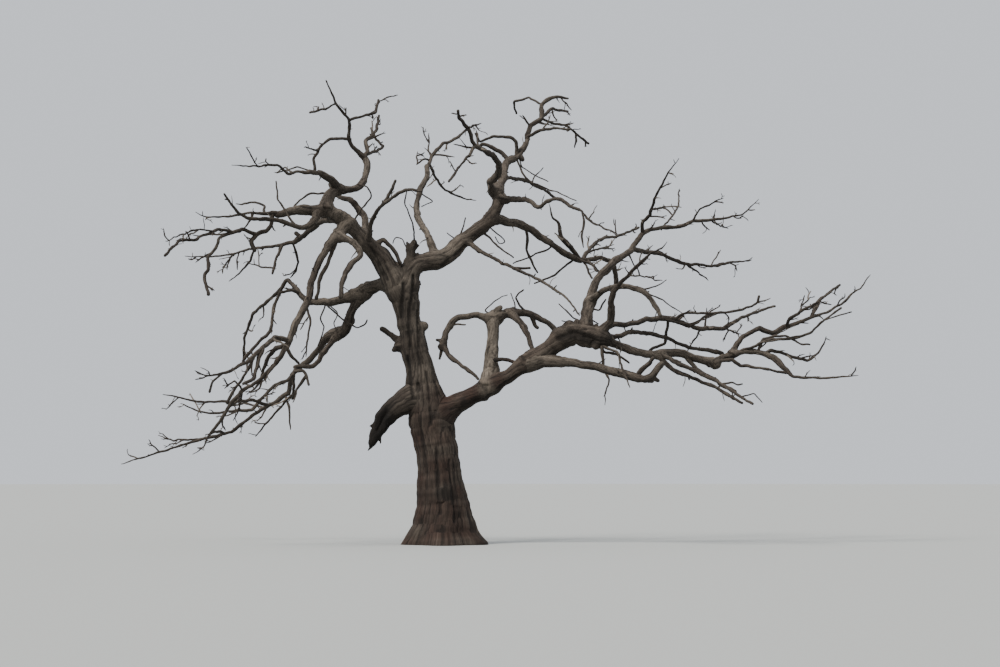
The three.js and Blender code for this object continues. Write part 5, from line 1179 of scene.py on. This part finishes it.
def wood_material(name):
    """Weathered wood: the corner's colour with its painted light and shade, finer fibres along the grain,
    pale patches and bump.
    """
    material = bpy.data.materials.new(name)
    material.use_nodes = True
    tree = material.node_tree
    nodes, links = tree.nodes, tree.links
    shader = nodes["Principled BSDF"]
    tint = attribute_node(tree, "tint")
    grain = attribute_node(tree, "grain")
    place = nodes.new("ShaderNodeTexCoord")
    fibres = noise_node(tree, grain.outputs["Vector"], FIBRES)
    patches = noise_node(tree, place.outputs["Object"], PATCHES)
    product = nodes.new("ShaderNodeMath")
    product.operation = "MULTIPLY"
    links.new(ranged(tree, fibres.outputs["Fac"], (0.3, 0.7), (0.45, 1.45)), product.inputs[0])
    links.new(ranged(tree, patches.outputs["Fac"], (0.3, 0.7), (0.85, 1.15)), product.inputs[1])
    colour = nodes.new("ShaderNodeVectorMath")
    colour.operation = "SCALE"
    links.new(tint.outputs["Color"], colour.inputs[0])
    links.new(product.outputs["Value"], colour.inputs["Scale"])
    links.new(colour.outputs["Vector"], shader.inputs["Base Color"])
    bump = nodes.new("ShaderNodeBump")
    bump.inputs["Strength"].default_value = 0.7
    bump.inputs["Distance"].default_value = 0.012
    links.new(fibres.outputs["Fac"], bump.inputs["Height"])
    links.new(bump.outputs["Normal"], shader.inputs["Normal"])
    links.new(ranged(tree, patches.outputs["Fac"], (0, 1), (0.82, 1.0)), shader.inputs["Roughness"])
    shader.inputs["Specular IOR Level"].default_value = 0.25
    return material


def plain_material(name, colour, roughness):
    material = bpy.data.materials.new(name)
    material.use_nodes = True
    shader = material.node_tree.nodes["Principled BSDF"]
    shader.inputs["Base Color"].default_value = (*linear(colour), 1)
    shader.inputs["Roughness"].default_value = roughness
    shader.inputs["Specular IOR Level"].default_value = 0.2
    return material


def settle(piece, nodes, materials):
    """Makes a piece part of the tree: what it replaces and its materials."""
    for material in materials:
        piece.data.materials.append(material)
    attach(piece, "root")
    if nodes:
        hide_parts(*nodes)


def grow_spurs(limbs, table, seed):
    """Stubs, knots and thin twigs along their own routes. Their depth leans by a seeded amount."""
    random = seeded(seed)
    spurs = []
    for on, girth, tip, route in table:
        parent = limbs[on]
        share, _ = parent.nearest_share(route[0])
        root = parent.at([share])[0]
        reach = sum(math.dist(a, b) for a, b in zip(route, route[1:]))
        lean = (random() - 0.5) * 0.7 * reach
        bends = [list(place) for place in route[1:]]
        bends[-1].append(root[1] + lean)
        spurs.append(limb_along(on, root, bends, [girth, tip], random, False))
    return spurs


def limb_pieces(limbs, wood):
    """The fused trunk and main boughs, and each other bough as a piece of its own."""
    fused = [limbs[name] for name in FUSED]
    for limb in limbs.values():
        limb.lay(RING_STEP)
    for index, spur in enumerate(grow_spurs(limbs, BROKEN_SPURS, SEEDS["broken_spurs"])):
        spur.name = f"broken_spur_{index}"
        spur.lay(RING_STEP)
        fused.append(spur)
    corners, faces, _ = joined([tube(limb, sides_of(limb, BOUGH_SIDES)) for limb in fused])
    main = mesh_object("trunk_and_main_boughs", corners, faces)
    remeshed(main, VOXEL)
    others = [limbs[name] for name, parent, _, _ in BOUGHS if name not in FUSED and parent in FUSED]
    dress(main, fused, others, True)
    cut_at_ground(main)
    settle(main, FUSED, [wood])
    parents = {name: parent for name, parent, _, _ in BOUGHS}
    for name, parent, _, _ in BOUGHS:
        if name in FUSED:
            continue
        limb = limbs[name]
        near = [limbs[parent]] + [limbs[child] for child in parents if parents[child] == name]
        corners, faces = tube(limb, sides_of(limb, BOUGH_SIDES))
        piece = mesh_object(name + "_wood", corners, faces)
        dress(piece, [limb], near)
        settle(piece, [name], [wood])


def wood_piece(name, twigs, wood, nodes):
    """Several thin limbs as one piece with the wood's relief."""
    parts = [tube(twig, sides_of(twig, TWIG_SIDES)) for twig in twigs]
    corners, faces, _ = joined(parts)
    piece = mesh_object(name, corners, faces)
    normals = read_normals(piece.data)
    looks_of_all = []
    start = 0
    for twig, (some, _) in zip(twigs, parts):
        end = start + len(some)
        looks_of_all.append(dressed(some, normals[start:end], [twig], []))
        start = end
    give(piece.data, *(np.vstack(values) for values in zip(*looks_of_all)))
    settle(piece, nodes, [wood])


def twig_piece(name, twigs, random, materials, nodes):
    """Many fine twigs as one piece, with a plain colour dealt out to each."""
    parts = []
    for twig in twigs:
        twig.lay(TWIG_STEP, pointed=True)
        parts.append(tube(twig, FINE_SIDES["more" if twig.girths[0] > FINE_SIDES["thick"] else "fewer"]))
    corners, faces, counts = joined(parts)
    piece = mesh_object(name, corners, faces)
    limits = np.cumsum(TWIG_SHARES)
    dealt = [int(np.searchsorted(limits, random() * limits[-1])) for _ in twigs]
    piece.data.polygons.foreach_set("material_index", np.repeat(dealt, counts))
    settle(piece, nodes, materials)


def bough_twigs(limbs):
    """Thin twigs and short stubs that stand on the thinner boughs by the same rule."""
    random = seeded(SEEDS["bough_twigs"])
    twigs = []
    stubs = []
    for name, _, bough_girths, _ in BOUGHS:
        if bough_girths[0] > THICKEST_TWIGGED or name.startswith("arch"):
            continue
        limb = limbs[name]
        for rule, kept in ((BOUGH_TWIGS, twigs), (STUBS, stubs)):
            count = math.floor(limb.length / rule["spacing"])
            for place in range(count):
                share = share_along(place, count, BOUGH_PLACES, random)
                kept.append(side_twig(limb, share, random, rule))
    return twigs, stubs


def grow_tree():
    """The whole tree: the trunk and boughs, each mass of twigs, and what stands on the boughs."""
    limbs = grow_boughs()
    leads = {mass[0]: grow_leads(mass, limbs) for mass in MASSES}
    balls = [(name, limb.balls()) for name, limb in limbs.items()]
    for name, twigs in leads.items():
        balls.extend((name, twig.balls()) for twig in twigs)
    thick = np.vstack([ball[0] for owner, ball in balls if owner in limbs])
    radii = np.concatenate([ball[1] for owner, ball in balls if owner in limbs])
    wood = wood_material("weathered_wood")
    shades = [plain_material(name, colour, 0.9) for name, colour in TWIG_COLOURS.items()]
    limb_pieces(limbs, wood)
    for mass in MASSES:
        name, _, seed, _ = mass
        own = leads[name]
        sides = grow_side_twigs(mass, own, balls)
        room = room_of(own)
        near = near_room(thick, room, NEAR["finer"])
        random = seeded(seed * MASS_SEEDS["finer"])
        second = grow_finer(own + sides, FINER_TWIGS[0], random, room, thick[near], radii[near])
        third = grow_finer(sides + second, FINER_TWIGS[1], random, room, thick[near], radii[near])
        for lead in own:
            lead.lay(TWIG_STEP, pointed=lead.girths[-1] < BLUNT_TIP)
        wood_piece(name + "_limbs", own, wood, [name])
        twig_piece(name + "_fine", sides + second + third, random, shades, [name])
    twigs, stubs = bough_twigs(limbs)
    twig_piece("bough_fine_twigs", twigs, seeded(SEEDS["bough_colours"]), shades, [])
    spurs = grow_spurs(limbs, SPURS, SEEDS["spurs"]) + stubs
    for spur in spurs:
        spur.lay(TWIG_STEP)
    wood_piece("spurs_and_knots", spurs, wood, [])


def stage_and_light():
    """A plain pale floor, soft light and the camera."""
    bpy.ops.mesh.primitive_circle_add(vertices=FLOOR["corners"], radius=FLOOR["radius"], fill_type="NGON",
                                      location=(0, 0, -FLOOR["drop"]))
    floor = bpy.context.object
    floor.name = "floor"
    floor.data.materials.append(plain_material("floor_paper", FLOOR["colour"], FLOOR["roughness"]))
    world = bpy.data.worlds.new("sky")
    bpy.context.scene.world = world
    world.use_nodes = True
    sky = world.node_tree.nodes["Background"]
    sky.inputs["Color"].default_value = SKY["colour"]
    sky.inputs["Strength"].default_value = SKY["strength"]
    sun = bpy.data.lights.new("sun", "SUN")
    sun.energy = SUN["energy"]
    sun.angle = math.radians(SUN["spread"])
    sun.color = SUN["colour"]
    lamp = bpy.data.objects.new("sun", sun)
    lamp.rotation_euler = (math.radians(SUN["tilt"]), 0, math.radians(SUN["turn"]))
    bpy.context.scene.collection.objects.link(lamp)
    lens = bpy.data.cameras.new("camera")
    lens.lens = CAMERA["lens"]
    lens.sensor_width = CAMERA["sensor"]
    lens.clip_end = CAMERA["reach"]
    camera = bpy.data.objects.new("camera", lens)
    camera.location = (EYE["across"], -EYE["distance"], EYE["up"])
    camera.rotation_euler = (math.radians(CAMERA["tilt"]), 0, 0)
    bpy.context.scene.collection.objects.link(camera)
    bpy.context.scene.camera = camera


stage_and_light()
grow_tree()
